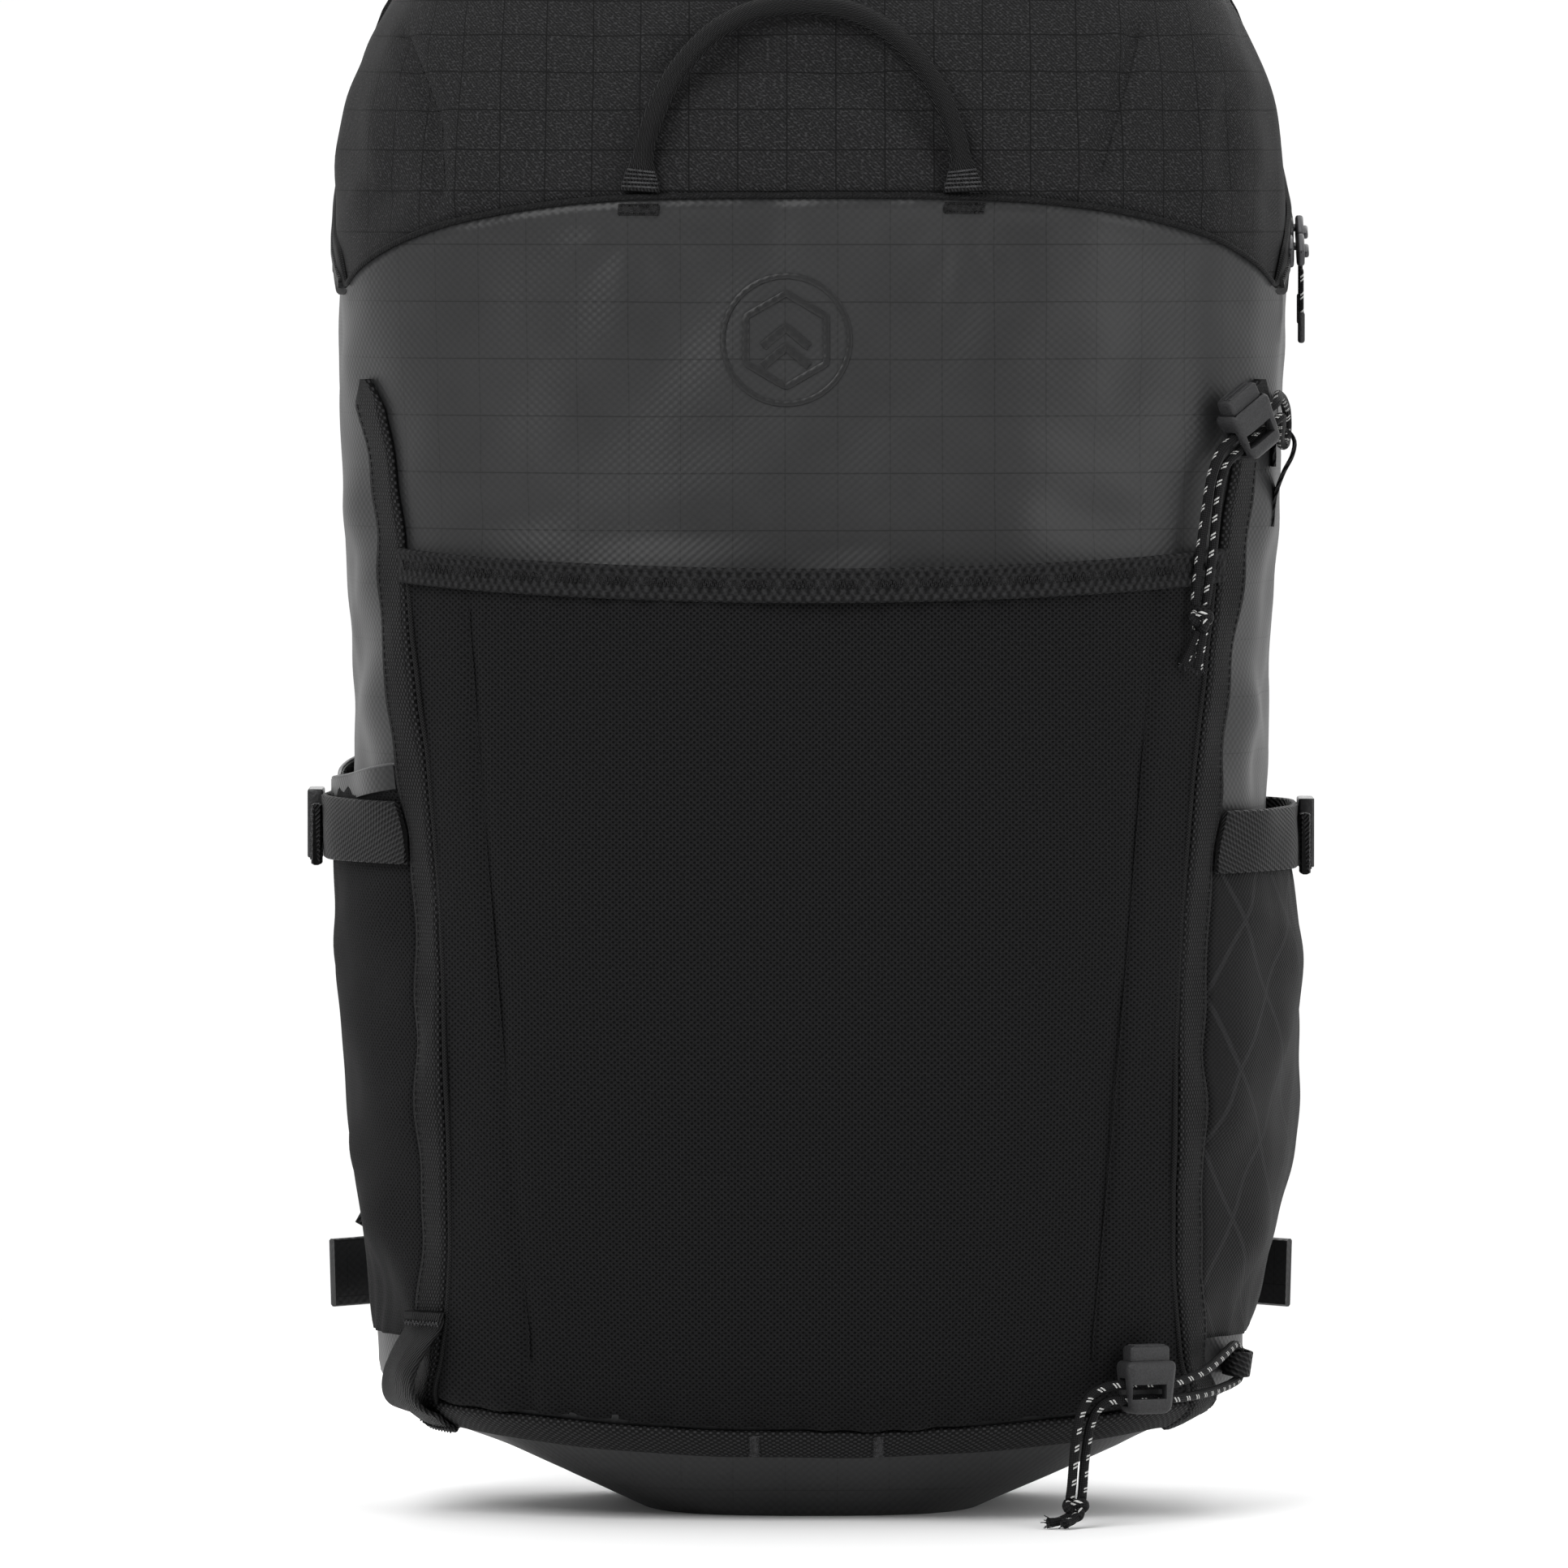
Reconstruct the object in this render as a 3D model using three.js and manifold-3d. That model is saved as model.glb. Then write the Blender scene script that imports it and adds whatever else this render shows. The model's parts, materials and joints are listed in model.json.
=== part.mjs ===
// Hiking daypack with a clamshell lid, mesh front pocket, pole holders and a padded harness.
// Millimetres, +Z up. The front faces -Y and +X is to the viewer's right. The origin is the
// centre of the footprint on the floor.
import * as THREE from 'three';
import { mergeVertices } from 'three/addons/utils/BufferGeometryUtils.js';
import Module from 'manifold-3d';

const wasm = await Module();
wasm.setup();

// Overall sizes of the packed bag
const PACK_HEIGHT = 534;
const SHOULDER_HALF_WIDTH = 152;
const FRONT_DEPTH = 124;
const BACK_DEPTH = 68;
const WIDEST_Y = 8;
const CROWN_HEIGHT = 134;
const CROWN_Y = 18;
const FRONT_ROUNDNESS = 2.8;
const BACK_ROUNDNESS = 5;
const CROWN_ROUNDNESS = 2.5;
const CROWN_BACK_ROUNDNESS = 6;
const CROWN_CAP = 0.6;
const SHELL_WALL = 2.4;

// Clearances
const GAP = 0.35;
const SEAM_GAP = 0.6;

// Lid seam and zip
const LID_HEIGHT = 116;
const LID_HINGE_Y = -109;
const ZIP_END_Y = -40;
const ZIP_END_DROP = 30;
const ZIP_TURN_Y = 22;
const ZIP_PLANE_Y = 38;
const ZIP_TURN_RISE = 30;
const ZIP_TAPE_WIDTH = 7;
const ZIP_TAPE_THICKNESS = 1.2;
const ZIP_TAPE_SPACING = 4.2;
const ZIP_TAPE_LIFT = 0.9;

// Zip sliders and their pulls
const SLIDER_LENGTH = 12;
const SLIDER_WIDTH = 8;
const SLIDER_THICKNESS = 4;
const SLIDER_REST = [28, 41.5];
const PULL_LENGTH = 24;
const PULL_WIDTH = 6;
const PULL_THICKNESS = 2.2;
const PULL_ROUND = 2.4;

// Fabric and webbing thicknesses
const MESH_THICKNESS = 1.2;
const WEBBING_THICKNESS = 1.8;

// Front pocket
const POCKET_TOP = 291;
const POCKET_TOP_SAG = 6;
const POCKET_BOTTOM = 34;
const POCKET_SLACK = 11;
const BINDING_HEIGHT = 9.5;
const BINDING_THICKNESS = 3;

// Edge webbing, measured inwards from the silhouette: height, distance
const EDGE_PATH = [[29, 5], [50, 16], [91, 24], [156, 24.5], [234, 22], [286, 17.6], [325, 14], [360, 10]];
const EDGE_WIDTH = 8;
const BOTTOM_WEBBING_LOW = 22;
const BOTTOM_WEBBING_HEIGHT = 8;
const BOTTOM_RISE = 7.5;
const GEAR_LOOP_LOW = 30;
const GEAR_LOOP_HIGH = 66;
const GEAR_LOOP_WIDTH = 11;
const GEAR_LOOP_RISE = 8;

// Side pockets and compression straps
const SIDE_POCKET_LOW = 56;
const SIDE_POCKET_TOP = [238, 214];
const SIDE_POCKET_SLACK = 5.6;
const SIDE_POCKET_REAR_Y = 54;
const POCKET_STANDOFF = 0.55;
const STRAP_HEIGHT = 214;
const STRAP_WIDTH = 20;
const STRAP_BUCKLE_Y = 12;
const BUCKLE_SIZE = [5, 26, 22];
const TAIL_LENGTH = 28;

// Carry handle on the lid seam
const HANDLE_HALF_SPAN = 50;
const HANDLE_OFFSET_X = -3;
const HANDLE_RISE = 56;
const HANDLE_THICKNESS = 6.5;
const HANDLE_STANDOFF = 5.2;
const HANDLE_FOOT_DROP = 2.4;

// Back panel and harness
const PANEL_HALF_WIDTH = 112;
const PANEL_LOW = 46;
const PANEL_HIGH = 486;
const PANEL_THICKNESS = 5;
const PAD_THICKNESS = 11;
const PAD_WIDTH = 66;
const PAD_CHANNEL = 34;
const LUMBAR_HEIGHT = 74;
const FRAME_SHEET_THICKNESS = 2;
const FRAME_SHEET_WIDTH = 166;
const FRAME_SHEET_LOW = 60;
const STRAP_PAD_WIDTH = 58;
const STRAP_PAD_THICKNESS = 11;
const LOCK_DROP = 13;
const TAB_PLY = 3;
const ANCHOR_Z = 70;
const HARNESS_WEBBING = 20;
const HIP_WEBBING = 25;
const HIP_HEIGHT = 86;
const STERNUM_HEIGHT = 344;
const STRAP_STANDOFF = 44.4;

// Side-release buckles
const SOCKET_LENGTH = 26;
const SOCKET_THICKNESS = 7;
const SOCKET_WALL = 1.6;
const PLUG_CLEARANCE = 0.4;
const PLUG_PRONG = 17;
const PLUG_BLOCK = 13;

// Pole holders. A cord runs from its knot through the lock to the tab's fold and back.
const CORD_DIAMETER = 3;
const UPPER_CORD = [
  [120.9, -96.7, 289.2], [121.5, -96.1, 297], [122.8, -94.8, 308], [124.4, -93.3, 319.5],
  [126.3, -91.7, 330.5], [129.3, -89.7, 338], [132.3, -86.9, 340.8], [144.1, -75.3, 350.3],
  [146.8, -72.6, 352.5], [147.9, -64, 354.8], [148.2, -54, 355], [149.6, -42, 353.8],
  [150.9, -31, 351.4], [151.4, -26.6, 349.6], [151.7, -24.8, 345.2], [151.4, -26.6, 340.8],
  [150.9, -31, 339], [149.6, -42, 339], [148.6, -54, 341.3], [148.8, -63.5, 345],
  [148.4, -71.1, 348.2], [145.6, -73.8, 346], [133.9, -85.3, 336.6], [131.1, -88.2, 333.8],
  [128.9, -90.1, 327.5], [127.5, -91.5, 316.5], [126.5, -92.6, 306], [125.2, -93.8, 296],
  [124.2, -94.6, 289.2],
];
const LOWER_CORD = [
  [81.2, -123.3, 9.1], [81.8, -121.2, 13.5], [82.4, -118.9, 20.5], [83.3, -116.4, 28.5],
  [85, -113.4, 36], [88.2, -110.4, 41], [92.8, -107.9, 43.4], [96.9, -106, 43.9],
  [113.7, -98.2, 43.9], [118, -93.2, 44.8], [124, -84.5, 46.8], [128.6, -74, 49.6],
  [132, -64, 52], [134.4, -54.5, 53.2], [136, -48.9, 51.7], [136.7, -46.8, 47.2],
  [136, -48.9, 42.7], [133.8, -54.5, 41.2], [131, -64, 40.6], [127.4, -74, 40],
  [123, -84.5, 39.6], [117.8, -93.3, 39.3], [113.7, -98.2, 39.2],
  [96.9, -106, 39.2], [93, -107.8, 38.7], [89.9, -109.4, 36.2], [87.7, -111.4, 31.4],
  [86.5, -113.9, 25], [85.7, -116.9, 18.4], [85.2, -119.9, 12.2], [84.9, -122.1, 9.1],
];
const UPPER_LOCK = { at: [138.4, -80.9, 345], facing: [0.7, -0.714, 0], roll: Math.PI / 6 };
const LOWER_LOCK = { at: [105.5, -102, 43.2], facing: [0.42, -0.9075, 0], roll: 0 };
const UPPER_KNOT = [122.5, -95.7, 284.5];
const LOWER_KNOT = [83, -123.2, 4.4];
const TAB_WIDTH = 8;
const TAB_THICKNESS = 1.2;
const CORD_SIDES = 8;
const LOCK_WIDTH = 18;
const LOCK_HEIGHT = 17;
const LOCK_DEPTH = 11;
const LOCK_WALL = 1.8;
const BUTTON_RISE = 4.5;
const BUTTON_CLEARANCE = 0.35;
const SLOT_HEIGHT = 9;
const SLOT_DEPTH = 4;
const KNOT_RADIUS = 4.2;

const EMBLEM_CENTRE = [-8, 373];
const EMBLEM_RADIUS = 21;

const SEAM_Z = PACK_HEIGHT - LID_HEIGHT;
const SHOULDER_Z = PACK_HEIGHT - CROWN_HEIGHT;
const ZIP_END_Z = SEAM_Z - ZIP_END_DROP;
const BACK_Y = BACK_DEPTH;
const SIDES = [['left', -1], ['right', 1]];
const UP = new THREE.Vector3(0, 0, 1);

// How far the outline draws in below the shoulders: height, sides, front, back
const DRAW_IN = [
  [0, 97, 54, 18],
  [22, 48, 27, 8],
  [36, 21, 15, 4],
  [52, 15, 9, 1.5],
  [91, 10, 4, 0],
  [150, 8.5, 0, 0],
  [SHOULDER_Z - 100, 4, 5, 0],
  [SHOULDER_Z, 0, 14, 0],
];

const vec = (x, y, z) => new THREE.Vector3(x, y, z);
const clamp01 = (value) => Math.min(1, Math.max(0, value));
const lerp = (a, b, t) => a + (b - a) * t;

// Smooth value of one column of a table whose first column is a height.
function columnAt(table, z, column) {
  const last = table.length - 1;
  const height = Math.min(Math.max(z, table[0][0]), table[last][0]);
  let i = 0;
  while (i < last - 1 && height > table[i + 1][0]) i++;
  const slope = (k) => {
    const low = table[Math.max(k - 1, 0)];
    const high = table[Math.min(k + 1, last)];
    return (high[column] - low[column]) / (high[0] - low[0]);
  };
  const span = table[i + 1][0] - table[i][0];
  const t = (height - table[i][0]) / span;
  const a = table[i][column];
  const b = table[i + 1][column];
  const rise = slope(i) * span;
  const fall = slope(i + 1) * span;
  const bend = (2 * t ** 3 - 3 * t ** 2 + 1) * a + (t ** 3 - 2 * t ** 2 + t) * rise;
  return bend + (3 * t ** 2 - 2 * t ** 3) * b + (t ** 3 - t ** 2) * fall;
}

// Half width, front and back of the bag's horizontal outline at a height.
function outline(z) {
  if (z <= SHOULDER_Z) {
    return {
      half: SHOULDER_HALF_WIDTH - columnAt(DRAW_IN, z, 1),
      front: -FRONT_DEPTH + columnAt(DRAW_IN, z, 2),
      back: BACK_DEPTH - columnAt(DRAW_IN, z, 3),
    };
  }
  const rise = clamp01((z - SHOULDER_Z) / CROWN_HEIGHT);
  const shrink = (1 - rise ** CROWN_ROUNDNESS) ** (1 / CROWN_ROUNDNESS);
  const shrinkBack = (1 - rise ** CROWN_BACK_ROUNDNESS) ** (1 / CROWN_BACK_ROUNDNESS);
  const shoulder = outline(SHOULDER_Z);
  return {
    half: shoulder.half * shrink,
    front: CROWN_Y + (shoulder.front - CROWN_Y) * shrink,
    back: CROWN_Y + (shoulder.back - CROWN_Y) * shrinkBack,
  };
}

// Point of the outline at a turn round the bag: 0 is +X, -90 degrees is the front.
function outlinePoint(turn, z, grow = 0) {
  const o = outline(z);
  const c = Math.cos(turn);
  const s = Math.sin(turn);
  const power = 2 / (s < 0 ? FRONT_ROUNDNESS : BACK_ROUNDNESS);
  const reach = s < 0 ? WIDEST_Y - o.front : o.back - WIDEST_Y;
  const x = (o.half + grow) * Math.sign(c) * Math.abs(c) ** power;
  const y = WIDEST_Y + (reach + grow) * Math.sign(s) * Math.abs(s) ** power;
  return vec(x, y, z);
}

// Point at a distance outside the bag's surface, and the outward normal there.
function skin(turn, z, distance = 0) {
  const step = 0.01;
  const across = outlinePoint(turn + step, z).sub(outlinePoint(turn - step, z));
  const up = outlinePoint(turn, z + step * 50).sub(outlinePoint(turn, z - step * 50));
  const normal = across.cross(up).normalize();
  return { at: outlinePoint(turn, z).addScaledVector(normal, distance), normal };
}

// Turn at which the front or the back of the outline reaches x.
function turnAtX(x, z, behind = false) {
  const roundness = behind ? BACK_ROUNDNESS : FRONT_ROUNDNESS;
  const share = Math.min(1, Math.abs(x) / outline(z).half);
  const angle = Math.acos(Math.sign(x) * share ** (roundness / 2));
  return behind ? angle : -angle;
}

// Turn at which the side of the outline reaches y.
function turnAtY(y, z, side) {
  const o = outline(z);
  const behind = y > WIDEST_Y;
  const reach = behind ? o.back - WIDEST_Y : WIDEST_Y - o.front;
  const share = Math.min(1, Math.abs(y - WIDEST_Y) / reach);
  const angle = Math.asin(share ** ((behind ? BACK_ROUNDNESS : FRONT_ROUNDNESS) / 2));
  const signed = behind ? angle : -angle;
  return side > 0 ? signed : Math.PI - signed;
}

// Closed geometry from points and triangles, with its faces turned outwards.
function closed(points, index) {
  let volume = 0;
  for (let i = 0; i < index.length; i += 3) {
    const [a, b, c] = [points[index[i]], points[index[i + 1]], points[index[i + 2]]];
    volume += a.dot(b.clone().cross(c));
  }
  const ordered = volume < 0 ? index.slice().reverse() : index;
  const places = points.flatMap((p) => p.toArray());
  const geometry = new THREE.BufferGeometry();
  geometry.setAttribute('position', new THREE.Float32BufferAttribute(places, 3));
  geometry.setIndex(ordered);
  return geometry;
}

// Solid through a row of closed rings, capped at both ends.
function loft(rings) {
  const count = rings[0].length;
  const points = rings.flat();
  const index = [];
  for (let i = 0; i + 1 < rings.length; i++) {
    for (let j = 0; j < count; j++) {
      const a = i * count + j;
      const b = i * count + ((j + 1) % count);
      index.push(a, b, b + count, a, b + count, a + count);
    }
  }
  for (const [start, order] of [[0, 1], [(rings.length - 1) * count, -1]]) {
    const centre = points.length;
    const middle = vec(0, 0, 0);
    for (let j = 0; j < count; j++) middle.add(points[start + j]);
    points.push(middle.divideScalar(count));
    for (let j = 0; j < count; j++) {
      const a = start + j;
      const b = start + ((j + 1) % count);
      index.push(centre, order > 0 ? b : a, order > 0 ? a : b);
    }
  }
  return closed(points, index);
}

// Curved slab: point(u, v, face) gives the inner surface at face 0 and the outer at face 1.
function slab(columns, rows, point) {
  const stride = columns + 1;
  const layer = stride * (rows + 1);
  const points = [];
  for (const face of [0, 1]) {
    for (let j = 0; j <= rows; j++) {
      for (let i = 0; i <= columns; i++) points.push(point(i / columns, j / rows, face));
    }
  }
  const index = [];
  const quad = (a, b, c, d) => index.push(a, b, c, a, c, d);
  const id = (i, j, face) => face * layer + j * stride + i;
  for (let j = 0; j < rows; j++) {
    for (let i = 0; i < columns; i++) {
      quad(id(i, j, 1), id(i + 1, j, 1), id(i + 1, j + 1, 1), id(i, j + 1, 1));
      quad(id(i, j, 0), id(i, j + 1, 0), id(i + 1, j + 1, 0), id(i + 1, j, 0));
    }
    quad(id(0, j, 0), id(0, j, 1), id(0, j + 1, 1), id(0, j + 1, 0));
    quad(id(columns, j, 1), id(columns, j, 0), id(columns, j + 1, 0), id(columns, j + 1, 1));
  }
  for (let i = 0; i < columns; i++) {
    quad(id(i + 1, 0, 0), id(i + 1, 0, 1), id(i, 0, 1), id(i, 0, 0));
    quad(id(i, rows, 0), id(i, rows, 1), id(i + 1, rows, 1), id(i + 1, rows, 0));
  }
  return closed(points, index);
}

// Flat strap along a smooth path, with its width along a direction that may change.
function strap(path, across, width, thickness, steps) {
  const curve = new THREE.CatmullRomCurve3(path);
  return slab(1, steps, (u, v, face) => {
    const side = (typeof across === 'function' ? across(v) : across).clone().normalize();
    const along = curve.getTangent(v);
    const normal = along.clone().cross(side).normalize();
    const flat = normal.clone().cross(along).normalize();
    return curve.getPoint(v).addScaledVector(flat, (u - 0.5) * width)
      .addScaledVector(normal, (face - 0.5) * thickness);
  });
}

// Padded strap with a rounded section.
function paddedStrap(path, across, width, thickness, steps) {
  const curve = new THREE.CatmullRomCurve3(path);
  const corners = 12;
  const rings = [];
  for (let i = 0; i <= steps; i++) {
    const v = i / steps;
    const along = curve.getTangent(v);
    const normal = along.clone().cross(across(v).normalize()).normalize();
    const flat = normal.clone().cross(along).normalize();
    const ring = [];
    for (let k = 0; k < corners; k++) {
      const angle = (k / corners) * 2 * Math.PI + Math.PI / corners;
      const c = Math.cos(angle);
      const s = Math.sin(angle);
      ring.push(curve.getPoint(v)
        .addScaledVector(flat, Math.sign(c) * Math.abs(c) ** 0.5 * width(v) / 2)
        .addScaledVector(normal, Math.sign(s) * Math.abs(s) ** 0.6 * thickness / 2));
    }
    rings.push(ring);
  }
  return loft(rings);
}

// Outline of a rectangle with round corners, centred at a point.
function roundedOutline(width, height, radius) {
  const w = width / 2;
  const h = height / 2;
  const shape = new THREE.Shape();
  shape.moveTo(-w + radius, -h);
  shape.lineTo(w - radius, -h);
  shape.absarc(w - radius, -h + radius, radius, -Math.PI / 2, 0, false);
  shape.lineTo(w, h - radius);
  shape.absarc(w - radius, h - radius, radius, 0, Math.PI / 2, false);
  shape.lineTo(-w + radius, h);
  shape.absarc(-w + radius, h - radius, radius, Math.PI / 2, Math.PI, false);
  shape.lineTo(-w, -h + radius);
  shape.absarc(-w + radius, -h + radius, radius, Math.PI, 1.5 * Math.PI, false);
  return shape;
}

// Rounded plate standing in an XZ plane, from its front face backwards.
function uprightPlate(width, height, depth, radius, bevel = 0, curveSegments = 3) {
  const face = roundedOutline(width - 2 * bevel, height - 2 * bevel, radius);
  const geometry = new THREE.ExtrudeGeometry(face, {
    depth: depth - 2 * bevel,
    bevelEnabled: bevel > 0,
    bevelThickness: bevel,
    bevelSize: bevel,
    bevelSegments: 1,
    curveSegments,
  });
  geometry.translate(0, 0, bevel - depth);
  geometry.rotateX(Math.PI / 2);
  return geometry;
}

function boxAt(x0, x1, y0, y1, z0, z1) {
  const geometry = new THREE.BoxGeometry(x1 - x0, y1 - y0, z1 - z0);
  return geometry.translate((x0 + x1) / 2, (y0 + y1) / 2, (z0 + z1) / 2);
}

function toManifold(geometry) {
  const bare = geometry.clone();
  bare.deleteAttribute('normal');
  bare.deleteAttribute('uv');
  const merged = mergeVertices(bare, 1e-3);
  return new wasm.Manifold(new wasm.Mesh({
    numProp: 3,
    vertProperties: merged.attributes.position.array,
    triVerts: new Uint32Array(merged.index.array),
  }));
}

function fromManifold(manifold) {
  const mesh = manifold.getMesh();
  const geometry = new THREE.BufferGeometry();
  geometry.setAttribute('position', new THREE.BufferAttribute(mesh.vertProperties, 3));
  geometry.setIndex(new THREE.BufferAttribute(mesh.triVerts, 1));
  return geometry;
}

const cut = (solid, ...tools) => fromManifold(
  tools.reduce((left, tool) => left.subtract(toManifold(tool)), toManifold(solid)),
);

// Solid of the bag's outside, or of the space inside a wall.
function bagSolid(wall) {
  const rows = [0, 8, 17, 26, 34, 42, 52, 64, 80, 104, 140, 190, 250];
  const shoulders = [-84, -40, -8, 18, 40, 58, 74, 88, 101, 112, 121, 128, CROWN_HEIGHT - CROWN_CAP];
  const heights = [...rows, ...shoulders.map((above) => SHOULDER_Z + above)];
  const turns = 36;
  return loft(heights.map((z) => {
    const level = wall + (z * (PACK_HEIGHT - 2 * wall)) / PACK_HEIGHT;
    const ring = [];
    for (let k = 0; k < turns; k++) {
      const point = outlinePoint((k / turns) * 2 * Math.PI, z, -wall);
      ring.push(point.setZ(level));
    }
    return ring;
  }));
}

// Region in front of the zip and above the lid seam, as a prism along X.
function lidRegion(back, down) {
  const shape = new THREE.Shape();
  shape.moveTo(-300, SEAM_Z - down);
  shape.lineTo(LID_HINGE_Y, SEAM_Z - down);
  shape.lineTo(ZIP_END_Y, ZIP_END_Z - down);
  shape.lineTo(ZIP_TURN_Y, SEAM_Z - down);
  const rear = ZIP_PLANE_Y + back;
  shape.quadraticCurveTo(rear, SEAM_Z + 8 - down, rear, SEAM_Z + ZIP_TURN_RISE);
  shape.lineTo(rear, PACK_HEIGHT + 60);
  shape.lineTo(-300, PACK_HEIGHT + 60);
  const geometry = new THREE.ExtrudeGeometry(shape, { depth: 600, bevelEnabled: false, curveSegments: 4 });
  geometry.translate(0, 0, -300);
  return geometry.applyMatrix4(new THREE.Matrix4().makeBasis(vec(0, 1, 0), vec(0, 0, 1), vec(1, 0, 0)));
}

const bagWall = toManifold(bagSolid(0)).subtract(toManifold(bagSolid(SHELL_WALL)));

function mainShell() {
  return fromManifold(bagWall.subtract(toManifold(lidRegion(SEAM_GAP, SEAM_GAP))));
}

function lidShell() {
  return fromManifold(bagWall.intersect(toManifold(lidRegion(0, 0))));
}

// Zip line on the outside, from the right end over the crown to the left end.
function zipLine() {
  const half = [];
  const straight = 5;
  for (let i = 0; i <= straight; i++) {
    const t = 0.08 + (0.92 * i) / straight;
    half.push([lerp(ZIP_END_Y, ZIP_TURN_Y, t), lerp(ZIP_END_Z, SEAM_Z, t)]);
  }
  half.push([ZIP_PLANE_Y - 2.5, SEAM_Z + 14]);
  const archFoot = SEAM_Z + ZIP_TURN_RISE;
  const archTop = PACK_HEIGHT - CROWN_CAP;
  const archSteps = 11;
  for (let i = 0; i <= archSteps; i++) {
    half.push([ZIP_PLANE_Y, lerp(archFoot, archTop, Math.sin((i / archSteps) * Math.PI / 2))]);
  }
  const right = half.map(([y, z]) => skin(turnAtY(y, z, 1), z));
  const left = half.map(([y, z]) => skin(turnAtY(y, z, -1), z)).reverse();
  return [...right, ...left];
}

// Tape beside the zip line; side 1 is on the lid and -1 on the bag.
function zipTape(side) {
  const line = zipLine();
  return slab(1, line.length - 1, (u, v, face) => {
    const i = Math.round(v * (line.length - 1));
    const before = line[Math.max(i - 1, 0)].at;
    const after = line[Math.min(i + 1, line.length - 1)].at;
    const along = after.clone().sub(before).normalize();
    const normal = line[i].normal;
    const across = normal.clone().cross(along).normalize().multiplyScalar(side);
    const inset = ZIP_TAPE_SPACING / 2 + u * (ZIP_TAPE_WIDTH - ZIP_TAPE_SPACING / 2);
    return line[i].at.clone().addScaledVector(across, inset)
      .addScaledVector(normal, ZIP_TAPE_LIFT + face * ZIP_TAPE_THICKNESS);
  });
}

const ZIP_RUN = vec(0, ZIP_TURN_Y - ZIP_END_Y, ZIP_END_DROP).normalize();
const SLIDER_X = SHOULDER_HALF_WIDTH + ZIP_TAPE_LIFT + ZIP_TAPE_THICKNESS + GAP;

function sliderCentre(rest) {
  return vec(SLIDER_X + SLIDER_THICKNESS / 2, ZIP_END_Y, ZIP_END_Z).addScaledVector(ZIP_RUN, rest);
}

// Slider body lying along the zip, with a bridge on its outer face.
function zipSlider(rest) {
  const body = new THREE.BoxGeometry(SLIDER_THICKNESS, SLIDER_LENGTH, SLIDER_WIDTH);
  body.rotateX(Math.atan2(ZIP_RUN.z, ZIP_RUN.y));
  const centre = sliderCentre(rest);
  return body.translate(centre.x, centre.y, centre.z);
}

// Tab that hangs from the lower edge of its slider.
function zipPull(rest) {
  const centre = sliderCentre(rest);
  const slope = Math.atan2(ZIP_RUN.z, ZIP_RUN.y);
  const corner = PULL_WIDTH / 2 - PULL_ROUND;
  const drop = (SLIDER_WIDTH / 2 + GAP + PULL_ROUND + corner * Math.sin(slope)) / Math.cos(slope);
  const top = centre.z - drop + PULL_ROUND;
  const plate = uprightPlate(PULL_WIDTH, PULL_LENGTH, PULL_THICKNESS, PULL_ROUND);
  plate.rotateZ(Math.PI / 2);
  return plate.translate(centre.x + PULL_THICKNESS / 2, centre.y, top - PULL_LENGTH / 2);
}

// Distance of the edge webbing's middle from the centre plane at a height.
function edgeX(z) {
  return outline(z).half - columnAt(EDGE_PATH, z, 1);
}

const EDGE_LOW = EDGE_PATH[0][0];
const EDGE_HIGH = EDGE_PATH[EDGE_PATH.length - 1][0];

// Distance of the front pocket's mesh from the bag at a place.
function pocketLift(across, z) {
  const height = clamp01((z - POCKET_BOTTOM) / (POCKET_TOP - POCKET_BOTTOM));
  const middle = 1 - Math.abs(across) ** 2.4;
  return 4 * GAP + POCKET_SLACK * middle * Math.sin(height * Math.PI * 0.62) ** 0.8;
}

function pocketPoint(across, z, distance) {
  const half = edgeX(z) - EDGE_WIDTH / 2 - 3 * GAP;
  return skin(turnAtX(across * half, z), z, distance).at;
}

const pocketTopAt = (across) => POCKET_TOP + POCKET_TOP_SAG * across ** 2;
const pocketBottomAt = (across) => POCKET_BOTTOM + BOTTOM_RISE * across ** 2;

function frontPocket() {
  return slab(18, 16, (u, v, face) => {
    const across = 2 * u - 1;
    const z = lerp(pocketBottomAt(across), pocketTopAt(across), v ** 1.5);
    return pocketPoint(across, z, pocketLift(across, z) + face * MESH_THICKNESS);
  });
}

function pocketBinding() {
  return slab(18, 1, (u, v, face) => {
    const across = 2 * u - 1;
    const z = pocketTopAt(across) + GAP + v * BINDING_HEIGHT;
    const lift = pocketLift(across, pocketTopAt(across)) - 0.1;
    return pocketPoint(across, z, lift + face * BINDING_THICKNESS);
  });
}

// Webbing sewn along the edge of the front, drawn in to a point at its top.
function edgeWebbing(side) {
  return slab(1, 30, (u, v, face) => {
    const z = lerp(EDGE_LOW, EDGE_HIGH, v ** 1.6);
    const width = EDGE_WIDTH * Math.min(1, 0.25 + (1 - v) * 9);
    const x = side * (edgeX(z) + (u - 0.5) * width);
    return skin(turnAtX(x, z), z, 2 * GAP + face * (WEBBING_THICKNESS + 0.4)).at;
  });
}

function bottomWebbing() {
  return slab(28, 2, (u, v, face) => {
    const across = 2 * u - 1;
    const rise = v * BOTTOM_WEBBING_HEIGHT;
    const z = BOTTOM_WEBBING_LOW + BOTTOM_RISE * across ** 2 + rise;
    const end = edgeX(BOTTOM_WEBBING_LOW + BOTTOM_RISE + rise) - EDGE_WIDTH / 2 - GAP;
    const x = across * end;
    return skin(turnAtX(x, z), z, 3 * GAP + face * WEBBING_THICKNESS).at;
  });
}

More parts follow.
